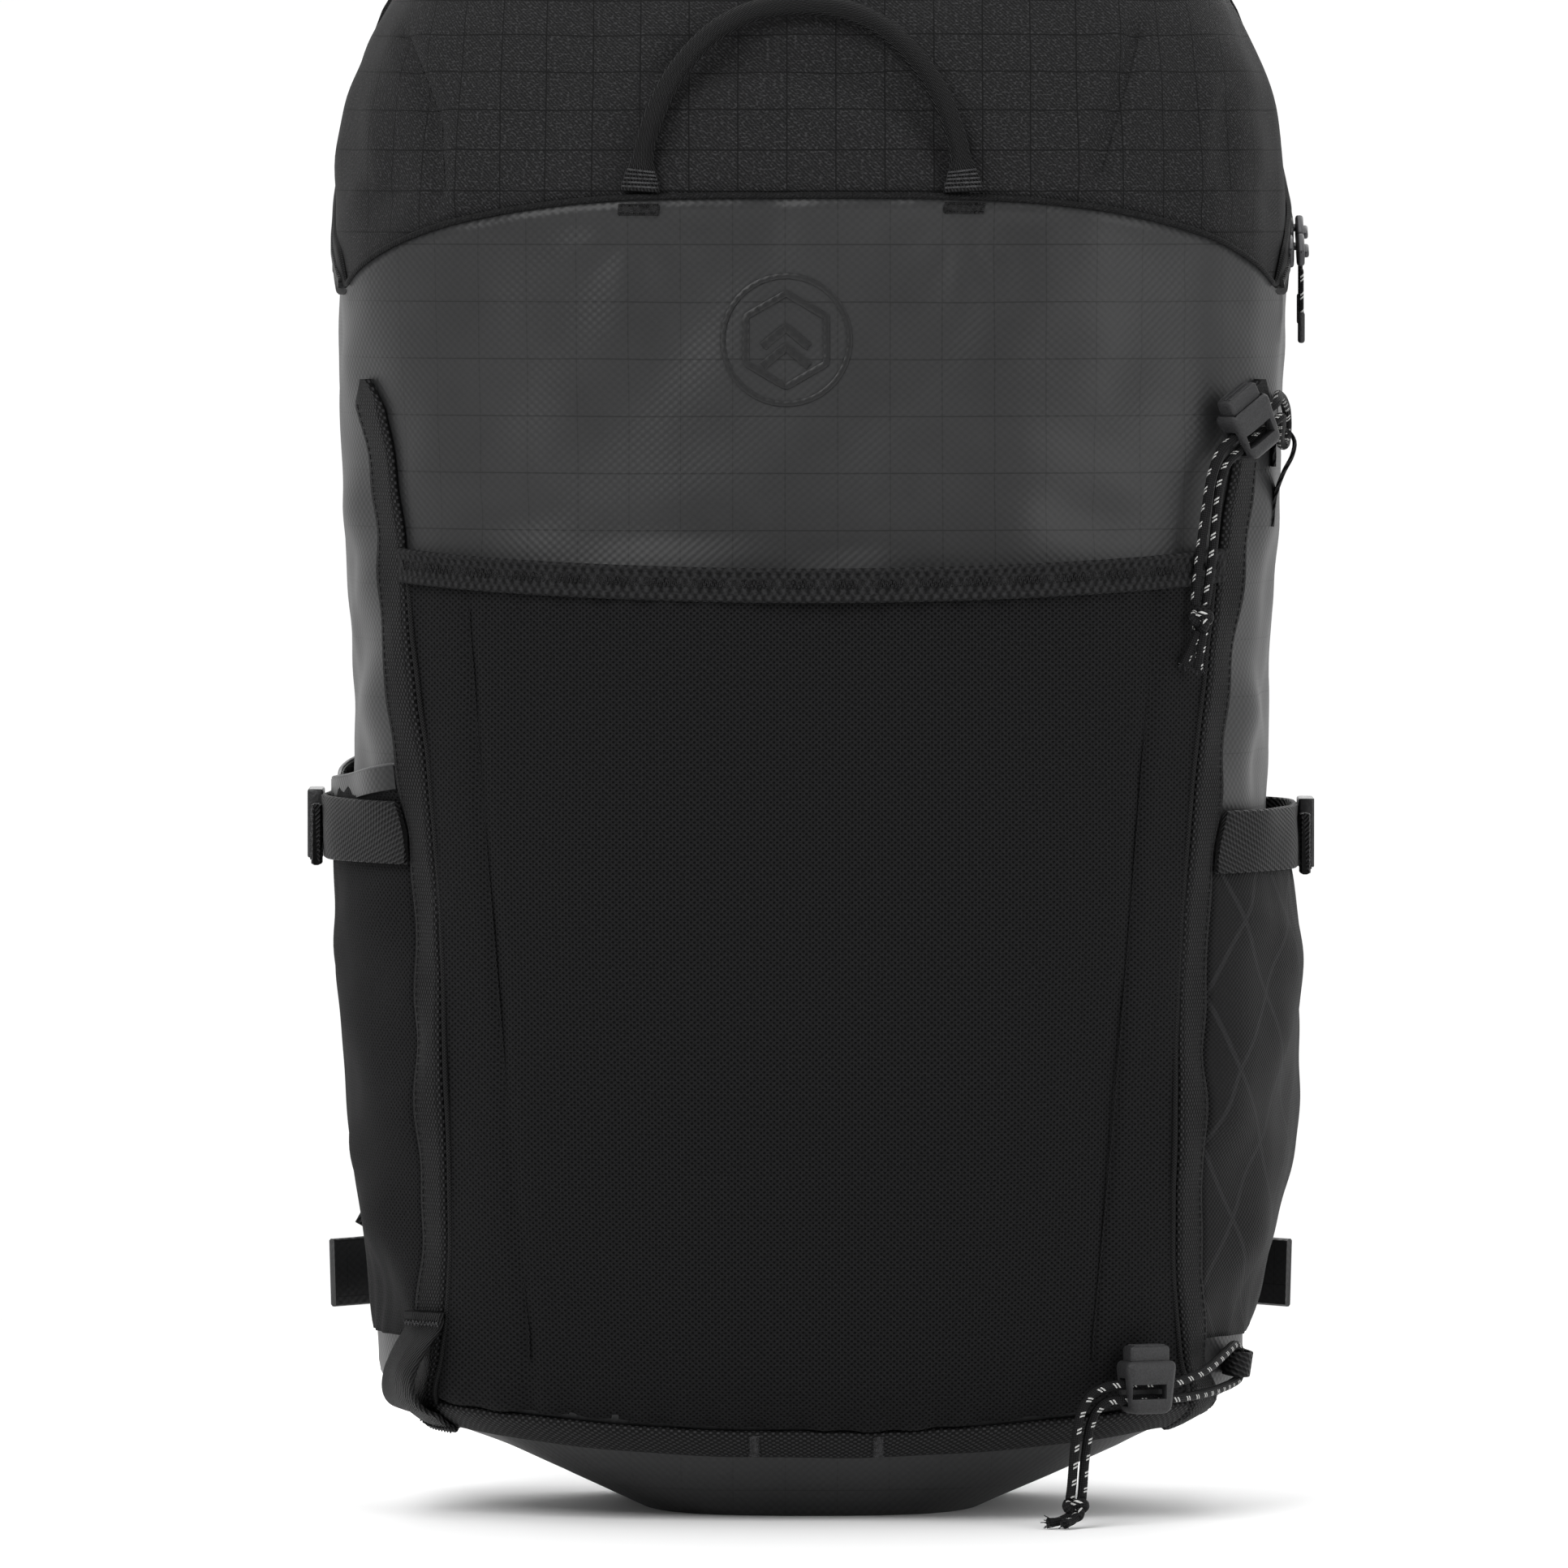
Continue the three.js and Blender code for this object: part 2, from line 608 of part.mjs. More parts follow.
// Bartacked loop over the foot of the edge webbing.
function gearLoop(side) {
  return slab(1, 18, (u, v, face) => {
    const z = lerp(GEAR_LOOP_LOW, GEAR_LOOP_HIGH, v);
    const x = side * (edgeX(z) + (u - 0.5) * GEAR_LOOP_WIDTH);
    const flat = 0.14;
    const bow = GEAR_LOOP_RISE * Math.sin(Math.PI * clamp01((v - flat) / (1 - 2 * flat)));
    const lift = WEBBING_THICKNESS + 0.4 + 6 * GAP + bow + face * WEBBING_THICKNESS;
    return skin(turnAtX(x, z), z, lift).at;
  });
}

// Turn of the side pocket's edge: 0 at the edge webbing and 1 at the rear seam.
function sideTurn(along, z, side) {
  const front = turnAtX(side * (edgeX(z) + EDGE_WIDTH / 2 + GAP + 0.3), z);
  const rear = turnAtY(SIDE_POCKET_REAR_Y, z, side);
  const start = side > 0 ? front : front + 2 * Math.PI;
  return lerp(start, rear, along);
}

function sidePocketLift(along, height) {
  const bow = Math.sin(Math.PI * along) ** 0.7 * Math.sin(height * Math.PI * 0.6);
  return POCKET_STANDOFF + SIDE_POCKET_SLACK * bow;
}

function sidePocket(side, top) {
  return slab(10, 8, (u, v, face) => {
    const z = lerp(SIDE_POCKET_LOW, top - 14 * (1 - (1 - 2 * u) ** 2) * 0.5, v);
    return skin(sideTurn(u, z, side), z, sidePocketLift(u, v) + face * MESH_THICKNESS).at;
  });
}

// Strap across the outside of the side pocket.
function compressionStrap(side, level) {
  return slab(10, 1, (u, v, face) => {
    const z = level - STRAP_WIDTH / 2 + v * STRAP_WIDTH;
    const bow = Math.sin(Math.PI * u) ** 0.7;
    const lift = POCKET_STANDOFF + MESH_THICKNESS + GAP + (SIDE_POCKET_SLACK + 0.6) * bow;
    return skin(sideTurn(u, z, side), z, lift + face * WEBBING_THICKNESS).at;
  });
}

// Outermost place of the strap's outer face.
const STRAP_OUTER_X = outline(STRAP_HEIGHT + STRAP_WIDTH / 2 + 3).half + POCKET_STANDOFF
  + MESH_THICKNESS + GAP + SIDE_POCKET_SLACK + 0.6 + WEBBING_THICKNESS;

// Ladder buckle on the compression strap, above the strap's folded tail.
function compressionBuckle(side, level) {
  const [thickness, length, width] = BUCKLE_SIZE;
  const inner = STRAP_OUTER_X + GAP;
  const frame = boxAt(inner, inner + thickness, -length / 2, length / 2, -width / 2, width / 2);
  const windowHalf = width / 2 - 3;
  const windows = [-1, 1].map((end) => boxAt(
    inner - 1, inner + thickness + 1,
    end * length / 4 - 3.2, end * length / 4 + 3.2,
    -windowHalf, windowHalf,
  ));
  const buckle = cut(frame, ...windows).translate(0, STRAP_BUCKLE_Y, level);
  return side > 0 ? buckle : mirrored(buckle);
}

// Folded end of the compression strap, standing behind its buckle's front bar.
function strapTail(side, level) {
  const inner = STRAP_OUTER_X + GAP;
  const front = STRAP_BUCKLE_Y - BUCKLE_SIZE[1] / 2 - GAP;
  const tail = boxAt(
    inner, inner + 2 * WEBBING_THICKNESS,
    front - TAIL_LENGTH / 2, front,
    -STRAP_WIDTH / 2 - 3, STRAP_WIDTH / 2 - 3,
  );
  tail.translate(0, 0, level);
  return side > 0 ? tail : mirrored(tail);
}

// Copy of a geometry on the other side of the centre plane.
function mirrored(geometry) {
  const copy = geometry.clone().scale(-1, 1, 1);
  const flat = copy.index ? copy : mergeVertices(copy.deleteAttribute('uv').deleteAttribute('normal'));
  const order = Array.from(flat.index.array).reverse();
  flat.setIndex(order);
  return flat;
}

// Round cord through chosen points.
function cordTube(points) {
  const curve = new THREE.CatmullRomCurve3(points, false, 'centripetal');
  const section = new THREE.Shape();
  for (let k = 0; k < CORD_SIDES; k++) {
    const angle = (k / CORD_SIDES) * 2 * Math.PI;
    const x = Math.cos(angle) * CORD_DIAMETER / 2;
    const y = Math.sin(angle) * CORD_DIAMETER / 2;
    if (k === 0) section.moveTo(x, y);
    else section.lineTo(x, y);
  }
  const steps = Math.min(80, Math.round(curve.getLength() / (1.5 * CORD_DIAMETER)));
  return new THREE.ExtrudeGeometry(section, { steps, extrudePath: curve, curveSegments: 1 });
}

// Rolled webbing arch with flattened feet on the lid seam.
function carryHandle() {
  const span = HANDLE_HALF_SPAN;
  const stations = [
    [-1.06, 0.02], [-1.02, 0.12], [-0.93, 0.34], [-0.78, 0.62], [-0.52, 0.87], [-0.2, 0.985],
    [0.2, 0.985], [0.52, 0.87], [0.78, 0.62], [0.93, 0.34], [1.02, 0.12], [1.06, 0.02],
  ];
  const steps = 22;
  const curve = new THREE.CatmullRomCurve3(stations.map(([a, h]) => {
    const z = SEAM_Z + 2 + h * HANDLE_RISE;
    const x = HANDLE_OFFSET_X + a * span;
    return skin(turnAtX(x, z), z, HANDLE_STANDOFF - (h < 0.2 ? HANDLE_FOOT_DROP : 0)).at;
  }));
  const rings = [];
  for (let i = 0; i <= steps; i++) {
    const v = i / steps;
    const along = curve.getTangent(v);
    const depth = vec(0, 1, 0).addScaledVector(along, -along.y).normalize();
    const flat = depth.clone().cross(along).normalize();
    const foot = clamp01(1 - Math.min(v, 1 - v) * 9);
    const wide = lerp(HANDLE_THICKNESS, 12.5, foot) / 2;
    const thick = lerp(HANDLE_THICKNESS, 3, foot) / 2;
    const ring = [];
    for (let k = 0; k < 8; k++) {
      const angle = ((k + 0.5) / 8) * 2 * Math.PI;
      ring.push(curve.getPoint(v).addScaledVector(flat, Math.cos(angle) * wide)
        .addScaledVector(depth, Math.sin(angle) * thick));
    }
    rings.push(ring);
  }
  return loft(rings);
}

// Foam back panel behind the bag, and the pads on it.
const PANEL_Y = BACK_Y + GAP;
const PAD_Y = PANEL_Y + PANEL_THICKNESS + GAP;

function backPanel() {
  const height = PANEL_HIGH - PANEL_LOW;
  return uprightPlate(2 * PANEL_HALF_WIDTH, height, PANEL_THICKNESS, 38, 0, 5)
    .translate(0, PANEL_Y, (PANEL_HIGH + PANEL_LOW) / 2);
}

function backPad(side) {
  const low = PANEL_LOW + 14 + LUMBAR_HEIGHT + 8;
  const high = PANEL_HIGH - 46;
  return uprightPlate(PAD_WIDTH, high - low, PAD_THICKNESS, 16, 3.5)
    .translate(side * (PAD_CHANNEL + PAD_WIDTH) / 2, PAD_Y, (high + low) / 2);
}

function lumbarPad() {
  return uprightPlate(PAD_CHANNEL + 2 * PAD_WIDTH, LUMBAR_HEIGHT, PAD_THICKNESS, 18, 3.5)
    .translate(0, PAD_Y, PANEL_LOW + 14 + LUMBAR_HEIGHT / 2);
}

function frameSheet() {
  const height = SEAM_Z - 20 - FRAME_SHEET_LOW;
  return uprightPlate(FRAME_SHEET_WIDTH, height, FRAME_SHEET_THICKNESS, 30)
    .translate(0, BACK_Y - SHELL_WALL - 2 - FRAME_SHEET_THICKNESS, FRAME_SHEET_LOW + height / 2);
}

function haulLoop() {
  const y = PAD_Y + 7.4;
  const top = PANEL_HIGH - 20;
  const path = [
    vec(-26, y, top), vec(-25, y + 5, top + 22), vec(-13, y + 9, top + 39),
    vec(0, y + 10, top + 43), vec(13, y + 9, top + 39), vec(25, y + 5, top + 22), vec(26, y, top),
  ];
  return strap(path, vec(0, 1, 0.2), 14, WEBBING_THICKNESS, 18);
}

// Shoulder strap from the yoke, flat on the back panel, down to its ladder lock.
function shoulderPath(side) {
  const out = PAD_Y + 8;
  const flat = PAD_Y + STRAP_PAD_THICKNESS / 2;
  return [
    vec(side * 61, flat, PANEL_HIGH - 14), vec(side * 61, flat + 1.2, PANEL_HIGH - 25),
    vec(side * 61, out + 18, PANEL_HIGH - 50),
    vec(side * 64, out + 37, PANEL_HIGH - 92), vec(side * 72, out + STRAP_STANDOFF, PANEL_HIGH - 150),
    vec(side * 82, out + 40, PANEL_HIGH - 215), vec(side * 91, out + 29, PANEL_HIGH - 272),
    vec(side * 99, out + 16, PANEL_HIGH - 318),
  ];
}

function shoulderStrap(side) {
  const width = (v) => STRAP_PAD_WIDTH - 16 * clamp01((v - 0.55) / 0.45);
  return paddedStrap(shoulderPath(side), () => vec(1, 0, 0.2 * side), width, STRAP_PAD_THICKNESS, 12);
}

function ladderLock(side) {
  const path = shoulderPath(side);
  const end = path[path.length - 1];
  const plate = cut(
    boxAt(-14, 14, -2.5, 2.5, -11, 11),
    boxAt(-10.6, 10.6, -4, 4, 2, 6),
    boxAt(-10.6, 10.6, -4, 4, -6, -2),
  );
  plate.rotateX(0.2);
  return plate.translate(end.x + side * 3, end.y - 2.2, end.z - LOCK_DROP);
}

// Webbing from the ladder lock down to the side anchor.
function lowerWebbing(side) {
  const path = shoulderPath(side);
  const end = path[path.length - 1];
  const reach = outline(ANCHOR_Z).half;
  const points = [
    vec(end.x + side * 4.5, end.y - 4.8, end.z - LOCK_DROP - 12),
    vec(end.x + side * 14, end.y - 6, end.z - 52),
    vec(side * (reach - 8), PAD_Y + 4, ANCHOR_Z + 22), vec(side * (reach - 1), PAD_Y + 1, ANCHOR_Z + 10),
  ];
  return strap(points, vec(1, 0, 0.45 * side), HARNESS_WEBBING, WEBBING_THICKNESS, 8);
}

// Tab from the back panel's edge round to the bag's side.
function anchorTab(side) {
  const flat = PAD_Y + TAB_PLY / 2;
  const reach = outline(ANCHOR_Z).half;
  const edge = PANEL_HALF_WIDTH;
  const points = [
    vec(side * (edge - 15), flat, ANCHOR_Z + 3), vec(side * edge, flat, ANCHOR_Z + 3),
    vec(side * (reach - 10), flat - 4, ANCHOR_Z + 1), vec(side * (reach + 3), flat - 11, ANCHOR_Z),
    vec(side * (reach + 15), flat - 19, ANCHOR_Z - 0.5),
  ];
  return strap(points, vec(0, 0, 1), 22, TAB_PLY, 8);
}

// Webbing from the strap's outer face up to the top of the back panel.
function loadLifter(side) {
  const [, , bend, crest] = shoulderPath(side);
  const points = [
    vec(crest.x, crest.y + 7.6, crest.z + 12), vec(bend.x, bend.y + 17, bend.z + 10),
    vec(bend.x, bend.y - 1, PANEL_HIGH - 12), vec(bend.x, PAD_Y + 0.3, PANEL_HIGH - 4),
  ];
  return strap(points, vec(1, 0, 0), 14, WEBBING_THICKNESS, 6);
}

// Side-release buckle: the socket opens towards +X.
function buckleSocket(height) {
  const half = height / 2 + 3;
  const body = boxAt(-SOCKET_LENGTH, 0, -SOCKET_THICKNESS / 2, SOCKET_THICKNESS / 2, -half, half);
  const inner = SOCKET_THICKNESS / 2 - SOCKET_WALL;
  const hollow = boxAt(-PLUG_PRONG - 2, 1, -inner, inner, -half + SOCKET_WALL, half - SOCKET_WALL);
  const sideWindows = boxAt(-PLUG_PRONG - 2, -6, -inner, inner, -half - 1, half + 1);
  return cut(body, hollow, sideWindows);
}

// Plug with two spring prongs, a middle guide and a slot for its webbing.
function bucklePlug(height) {
  const half = height / 2 + 3;
  const inner = SOCKET_THICKNESS / 2 - SOCKET_WALL - PLUG_CLEARANCE;
  const reach = half - SOCKET_WALL - PLUG_CLEARANCE;
  const comb = boxAt(-PLUG_PRONG, GAP + 0.5, -inner, inner, -reach, reach);
  const block = boxAt(GAP, GAP + PLUG_BLOCK, -SOCKET_THICKNESS / 2, SOCKET_THICKNESS / 2, -half, half);
  const gapInner = 2.4;
  const gapOuter = reach - 3;
  const slots = [-1, 1].map((end) => boxAt(
    -PLUG_PRONG - 1, -2,
    -inner - 1, inner + 1,
    Math.min(end * gapInner, end * gapOuter), Math.max(end * gapInner, end * gapOuter),
  ));
  const passage = WEBBING_THICKNESS / 2 + PLUG_CLEARANCE;
  const wide = height / 2 + PLUG_CLEARANCE;
  const slot = boxAt(3, PLUG_BLOCK + 2, -passage, passage, -wide, wide);
  const joined = fromManifold(toManifold(comb).add(toManifold(block)));
  return cut(joined, ...slots, slot);
}

const STRAP_FACE_Y = PAD_Y + 8 + STRAP_STANDOFF + STRAP_PAD_THICKNESS / 2;
const STERNUM_Y = STRAP_FACE_Y + GAP + WEBBING_THICKNESS / 2;
const STERNUM_REACH = 66;
const PAD_FACE_Y = PAD_Y + PAD_THICKNESS;
const HIP_Y = PAD_FACE_Y + GAP + SOCKET_THICKNESS / 2;
const HIP_REACH = 80;
const BUCKLE_X = 6;

// Buckle webbing from its buckle outwards, ending flat on the pad that carries it.
function buckleWebbing(side, y, endY, z, reach, height) {
  const start = side < 0 ? BUCKLE_X - SOCKET_LENGTH - GAP : BUCKLE_X + 4.5;
  const path = [
    vec(start, y, z), vec(side * reach * 0.42, y, z),
    vec(side * reach * 0.72, lerp(y, endY, 0.95), z), vec(side * reach, endY, z),
  ];
  return strap(path, vec(0, 0, 1), height, WEBBING_THICKNESS, 8);
}

// Cord lock barrel: open at the top for its button, with a slot for the cord along X.
function cordLock() {
  const half = [LOCK_WIDTH / 2, LOCK_DEPTH / 2, LOCK_HEIGHT / 2];
  const body = uprightPlate(LOCK_WIDTH, LOCK_HEIGHT, LOCK_DEPTH, 4.5, 1.2).translate(0, -half[1], 0);
  const well = boxAt(
    -half[0] + LOCK_WALL, half[0] - LOCK_WALL,
    -half[1] + LOCK_WALL, half[1] - LOCK_WALL,
    -half[2] + LOCK_WALL + SLOT_HEIGHT, half[2] + 1,
  );
  const slotLow = -half[2] + LOCK_WALL + 0.6;
  const slot = boxAt(
    -half[0] - 1, half[0] + 1,
    -SLOT_DEPTH / 2, SLOT_DEPTH / 2,
    slotLow, slotLow + SLOT_HEIGHT,
  );
  return cut(body, well, slot);
}

function lockButton() {
  const x = LOCK_WIDTH / 2 - LOCK_WALL - BUTTON_CLEARANCE;
  const y = LOCK_DEPTH / 2 - LOCK_WALL - BUTTON_CLEARANCE;
  const top = LOCK_HEIGHT / 2 + BUTTON_RISE;
  return boxAt(-x, x, -y, y, LOCK_HEIGHT / 2 - 2.2, top);
}

// Moves a lock piece from its own frame, facing -Y, to its place on the bag.
function placeLock(geometry, { at, facing, roll }) {
  const out = vec(...facing).normalize();
  const across = UP.clone().cross(out).normalize();
  const x = across.clone().multiplyScalar(Math.cos(roll)).addScaledVector(UP, Math.sin(roll));
  const z = x.clone().cross(out.clone().negate()).normalize();
  const frame = new THREE.Matrix4().makeBasis(x, out.negate(), z);
  return geometry.applyMatrix4(frame).translate(...at);
}

// Webbing folded round the end of a cord; stations are [y, z, distance from the bag].
function cordTab(stations, across) {
  const path = stations.map(([y, z, distance]) => skin(turnAtY(y, z, 1), z, distance).at);
  return strap(path, across, TAB_WIDTH, TAB_THICKNESS, 20);
}

function upperTab() {
  return cordTab([
    [-38, 313, 1.3], [-38, 322, 1.9], [-38, 330, 4.4], [-38, 336, 7.2], [-38, 340.5, 7.6],
    [-38, 343.6, 4.8], [-38, 341, 1.5], [-38, 335, 1.3], [-38, 332, 1.3],
  ], vec(0, 1, 0));
}

function lowerTab() {
  return cordTab([
    [-30, 48, 1.6], [-36, 48, 2.4], [-41, 48, 5], [-46, 48, 8.6], [-50.5, 48, 8.2],
    [-52.5, 48, 5.2], [-50.5, 48, 1.9], [-46, 48, 1.6], [-43.5, 48, 1.6],
  ], vec(0.15, 0, 1));
}

// Overhand knot that joins the two tails of a cord.
function cordKnot() {
  return new THREE.SphereGeometry(KNOT_RADIUS, 10, 7).scale(1, 0.8, 1);
}

function emblem() {
  return slab(8, 8, (u, v, face) => {
    const a = (u - 0.5) * 2;
    const b = (v - 0.5) * 2;
    const x = EMBLEM_CENTRE[0] + EMBLEM_RADIUS * a * Math.sqrt(1 - b * b / 2);
    const z = EMBLEM_CENTRE[1] + EMBLEM_RADIUS * b * Math.sqrt(1 - a * a / 2);
    return skin(turnAtX(x, z), z, GAP + face * 0.6).at;
  });
}

const COATED = { color: 0x37383a, roughness: 0.5, metalness: 0 };
const RIPSTOP = { color: 0x252527, roughness: 0.8, metalness: 0 };
const MESH = { color: 0x161617, roughness: 0.9, metalness: 0 };
const WEBBING = { color: 0x1e1e1f, roughness: 0.85, metalness: 0 };
const FOAM = { color: 0x2a2a2c, roughness: 0.95, metalness: 0 };
const PLASTIC = { color: 0x2b2c2e, roughness: 0.55, metalness: 0 };
const CORD = { color: 0x1b1b1c, roughness: 0.8, metalness: 0 };
const METAL = { color: 0x55565a, roughness: 0.4, metalness: 0.8 };

const pack = new THREE.Group();
pack.name = 'daypack';

function addPiece(name, geometry, finish) {
  const mesh = new THREE.Mesh(geometry, new THREE.MeshStandardMaterial(finish));
  mesh.name = name;
  pack.add(mesh);
  return mesh;
}

addPiece('main_shell', mainShell(), COATED);
addPiece('lid_shell', lidShell(), RIPSTOP);
addPiece('frame_sheet', frameSheet(), PLASTIC);
addPiece('back_panel', backPanel(), FOAM);
addPiece('lumbar_pad', lumbarPad(), FOAM);
addPiece('front_pocket', frontPocket(), MESH);
addPiece('front_pocket_binding', pocketBinding(), WEBBING);
addPiece('bottom_webbing', bottomWebbing(), WEBBING);
addPiece('gear_loop_left', gearLoop(-1), WEBBING);
addPiece('haul_loop', haulLoop(), WEBBING);
addPiece('emblem_patch', emblem(), COATED);
addPiece('carry_handle', carryHandle(), WEBBING);
addPiece('zip_track_lid', zipTape(1), WEBBING);
addPiece('zip_track_body', zipTape(-1), WEBBING);

SLIDER_REST.forEach((rest, i) => {
  const place = ['front', 'rear'][i];
  addPiece(`zip_slider_${place}`, zipSlider(rest), METAL);
  addPiece(`zip_pull_${place}`, zipPull(rest), WEBBING);
});

SIDES.forEach(([name, side], i) => {
  const level = STRAP_HEIGHT + (side < 0 ? 3 : 0);
  addPiece(`edge_webbing_${name}`, edgeWebbing(side), WEBBING);
  addPiece(`side_pocket_${name}`, sidePocket(side, SIDE_POCKET_TOP[i]), MESH);
  addPiece(`compression_strap_${name}`, compressionStrap(side, level), WEBBING);
  addPiece(`compression_buckle_${name}`, compressionBuckle(side, level), PLASTIC);
  addPiece(`strap_tail_${name}`, strapTail(side, level), WEBBING);
  addPiece(`back_pad_${name}`, backPad(side), FOAM);
  addPiece(`shoulder_strap_${name}`, shoulderStrap(side), FOAM);
  addPiece(`load_lifter_${name}`, loadLifter(side), WEBBING);
  addPiece(`ladder_lock_${name}`, ladderLock(side), PLASTIC);
  addPiece(`lower_webbing_${name}`, lowerWebbing(side), WEBBING);
  addPiece(`anchor_tab_${name}`, anchorTab(side), WEBBING);
});

function addBuckle(stem, y, endY, z, height, reach) {
  addPiece(`${stem}_buckle_socket`, buckleSocket(height).translate(BUCKLE_X, y, z), PLASTIC);
  addPiece(`${stem}_buckle_plug`, bucklePlug(height).translate(BUCKLE_X, y, z), PLASTIC);
  for (const [name, side] of SIDES) {
    addPiece(`${stem}_webbing_${name}`, buckleWebbing(side, y, endY, z, reach, height), WEBBING);
  }
}

function addPoleHolder(level, points, lock, knot, tab) {
  addPiece(`pole_cord_${level}`, cordTube(points.map((p) => vec(...p))), CORD);
  addPiece(`cord_lock_${level}`, placeLock(cordLock(), lock), PLASTIC);
  addPiece(`lock_button_${level}`, placeLock(lockButton(), lock), PLASTIC);
  addPiece(`cord_knot_${level}`, cordKnot().translate(...knot), CORD);
  addPiece(`pole_tab_${level}`, tab, WEBBING);
}

addPoleHolder('upper', UPPER_CORD, UPPER_LOCK, UPPER_KNOT, upperTab());
addPoleHolder('lower', LOWER_CORD, LOWER_LOCK, LOWER_KNOT, lowerTab());
addBuckle('sternum', STERNUM_Y, STERNUM_Y, STERNUM_HEIGHT, HARNESS_WEBBING, STERNUM_REACH);
addBuckle('hip', HIP_Y, PAD_FACE_Y + GAP + WEBBING_THICKNESS / 2, HIP_HEIGHT, HIP_WEBBING, HIP_REACH);

export default pack;
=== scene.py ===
"""A daypack with a clamshell lid: fabric, webbing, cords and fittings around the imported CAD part."""
import json
import math

import bmesh
import bpy
import numpy as np
from mathutils import Matrix, Vector

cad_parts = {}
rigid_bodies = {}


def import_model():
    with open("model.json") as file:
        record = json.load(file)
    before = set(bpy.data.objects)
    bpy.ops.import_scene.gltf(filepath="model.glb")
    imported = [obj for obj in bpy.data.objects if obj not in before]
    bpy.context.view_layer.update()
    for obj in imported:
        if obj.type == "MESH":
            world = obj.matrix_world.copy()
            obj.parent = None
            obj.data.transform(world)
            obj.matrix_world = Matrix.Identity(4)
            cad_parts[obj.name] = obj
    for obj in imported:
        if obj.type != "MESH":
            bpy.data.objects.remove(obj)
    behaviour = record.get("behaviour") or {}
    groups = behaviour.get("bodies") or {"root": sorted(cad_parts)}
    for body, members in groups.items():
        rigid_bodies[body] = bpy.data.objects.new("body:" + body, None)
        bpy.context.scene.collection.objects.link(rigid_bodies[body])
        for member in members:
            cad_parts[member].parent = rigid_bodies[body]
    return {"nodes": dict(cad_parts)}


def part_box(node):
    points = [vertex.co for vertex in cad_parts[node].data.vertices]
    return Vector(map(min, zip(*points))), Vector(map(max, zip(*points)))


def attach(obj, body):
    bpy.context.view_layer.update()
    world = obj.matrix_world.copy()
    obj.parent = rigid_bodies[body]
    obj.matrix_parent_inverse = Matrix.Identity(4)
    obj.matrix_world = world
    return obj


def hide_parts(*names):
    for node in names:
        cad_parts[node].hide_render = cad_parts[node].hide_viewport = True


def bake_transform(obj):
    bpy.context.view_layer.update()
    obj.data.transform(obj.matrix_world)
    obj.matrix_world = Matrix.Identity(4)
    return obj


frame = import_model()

bl_info = {
    "name": "Daypack",
    "version": (1, 0, 0),
    "blender": (4, 5, 0),
    "location": "View3D > Sidebar > Daypack",
    "description": "Builds a daypack's fabric, webbing, cords and fittings",
    "category": "Add Mesh",
}

# Lengths below are millimetres; meshes are made in metres.
MM = 0.001
PACK_HEIGHT = 534.0
SHOULDER_Z = 400.0
CROWN_HEIGHT = 134.0
HALF_WIDTH = 152.0
FRONT_DEPTH = 124.0
BACK_DEPTH = 68.0
WIDEST_Y = 8.0
CROWN_Y = 18.0
FRONT_ROUND = 2.8
BACK_ROUND = 5.0
CROWN_RUN = 200.0
ZIP_PLANE_Y = 38.0
SEAM_Z = 418.0
PANEL_Y = 68.35
PAD_Y = 73.7
SIDES = (("left", -1), ("right", 1))

# How far the outline draws in below the shoulders: height, sides, front, back
DRAW_IN = np.array([
    [0, 97, 54, 18], [22, 48, 27, 8], [36, 21, 15, 4], [52, 15, 9, 1.5],
    [91, 10, 4, 0], [150, 8.5, 0, 0], [300, 4, 5, 0], [400, 0, 14, 0],
], float)
# Edge webbing, measured inwards from the silhouette: height, distance
EDGE_PATH = np.array([
    [29, 5], [50, 16], [91, 24], [156, 24.5], [234, 22], [286, 17.6], [325, 14], [360, 10],
], float)

UPPER_CORD = [
    [120.9, -96.7, 289.2], [121.5, -96.1, 297], [122.8, -94.8, 308], [124.4, -93.3, 319.5],
    [126.3, -91.7, 330.5], [129.3, -89.7, 338], [132.3, -86.9, 340.8], [144.1, -75.3, 350.3],
    [146.8, -72.6, 352.5], [147.9, -64, 354.8], [148.2, -54, 355], [149.6, -42, 353.8],
    [150.9, -31, 351.4], [151.4, -26.6, 349.6], [151.7, -24.8, 345.2], [151.4, -26.6, 340.8],
    [150.9, -31, 339], [149.6, -42, 339], [148.6, -54, 341.3], [148.8, -63.5, 345],
    [148.4, -71.1, 348.2], [145.6, -73.8, 346], [133.9, -85.3, 336.6], [131.1, -88.2, 333.8],
    [128.9, -90.1, 327.5], [127.5, -91.5, 316.5], [126.5, -92.6, 306], [125.2, -93.8, 296],
    [124.2, -94.6, 289.2],
]
LOWER_CORD = [
    [81.2, -123.3, 9.1], [81.8, -121.2, 13.5], [82.4, -118.9, 20.5], [83.3, -116.4, 28.5],
    [85, -113.4, 36], [88.2, -110.4, 41], [92.8, -107.9, 43.4], [96.9, -106, 43.9],
    [113.7, -98.2, 43.9], [118, -93.2, 44.8], [124, -84.5, 46.8], [128.6, -74, 49.6],
    [132, -64, 52], [134.4, -54.5, 53.2], [136, -48.9, 51.7], [136.7, -46.8, 47.2],
    [136, -48.9, 42.7], [133.8, -54.5, 41.2], [131, -64, 40.6], [127.4, -74, 40],
    [123, -84.5, 39.6], [117.8, -93.3, 39.3], [113.7, -98.2, 39.2],
    [96.9, -106, 39.2], [93, -107.8, 38.7], [89.9, -109.4, 36.2], [87.7, -111.4, 31.4],
    [86.5, -113.9, 25], [85.7, -116.9, 18.4], [85.2, -119.9, 12.2], [84.9, -122.1, 9.1],
]


# ---------------------------------------------------------------- the bag's surface

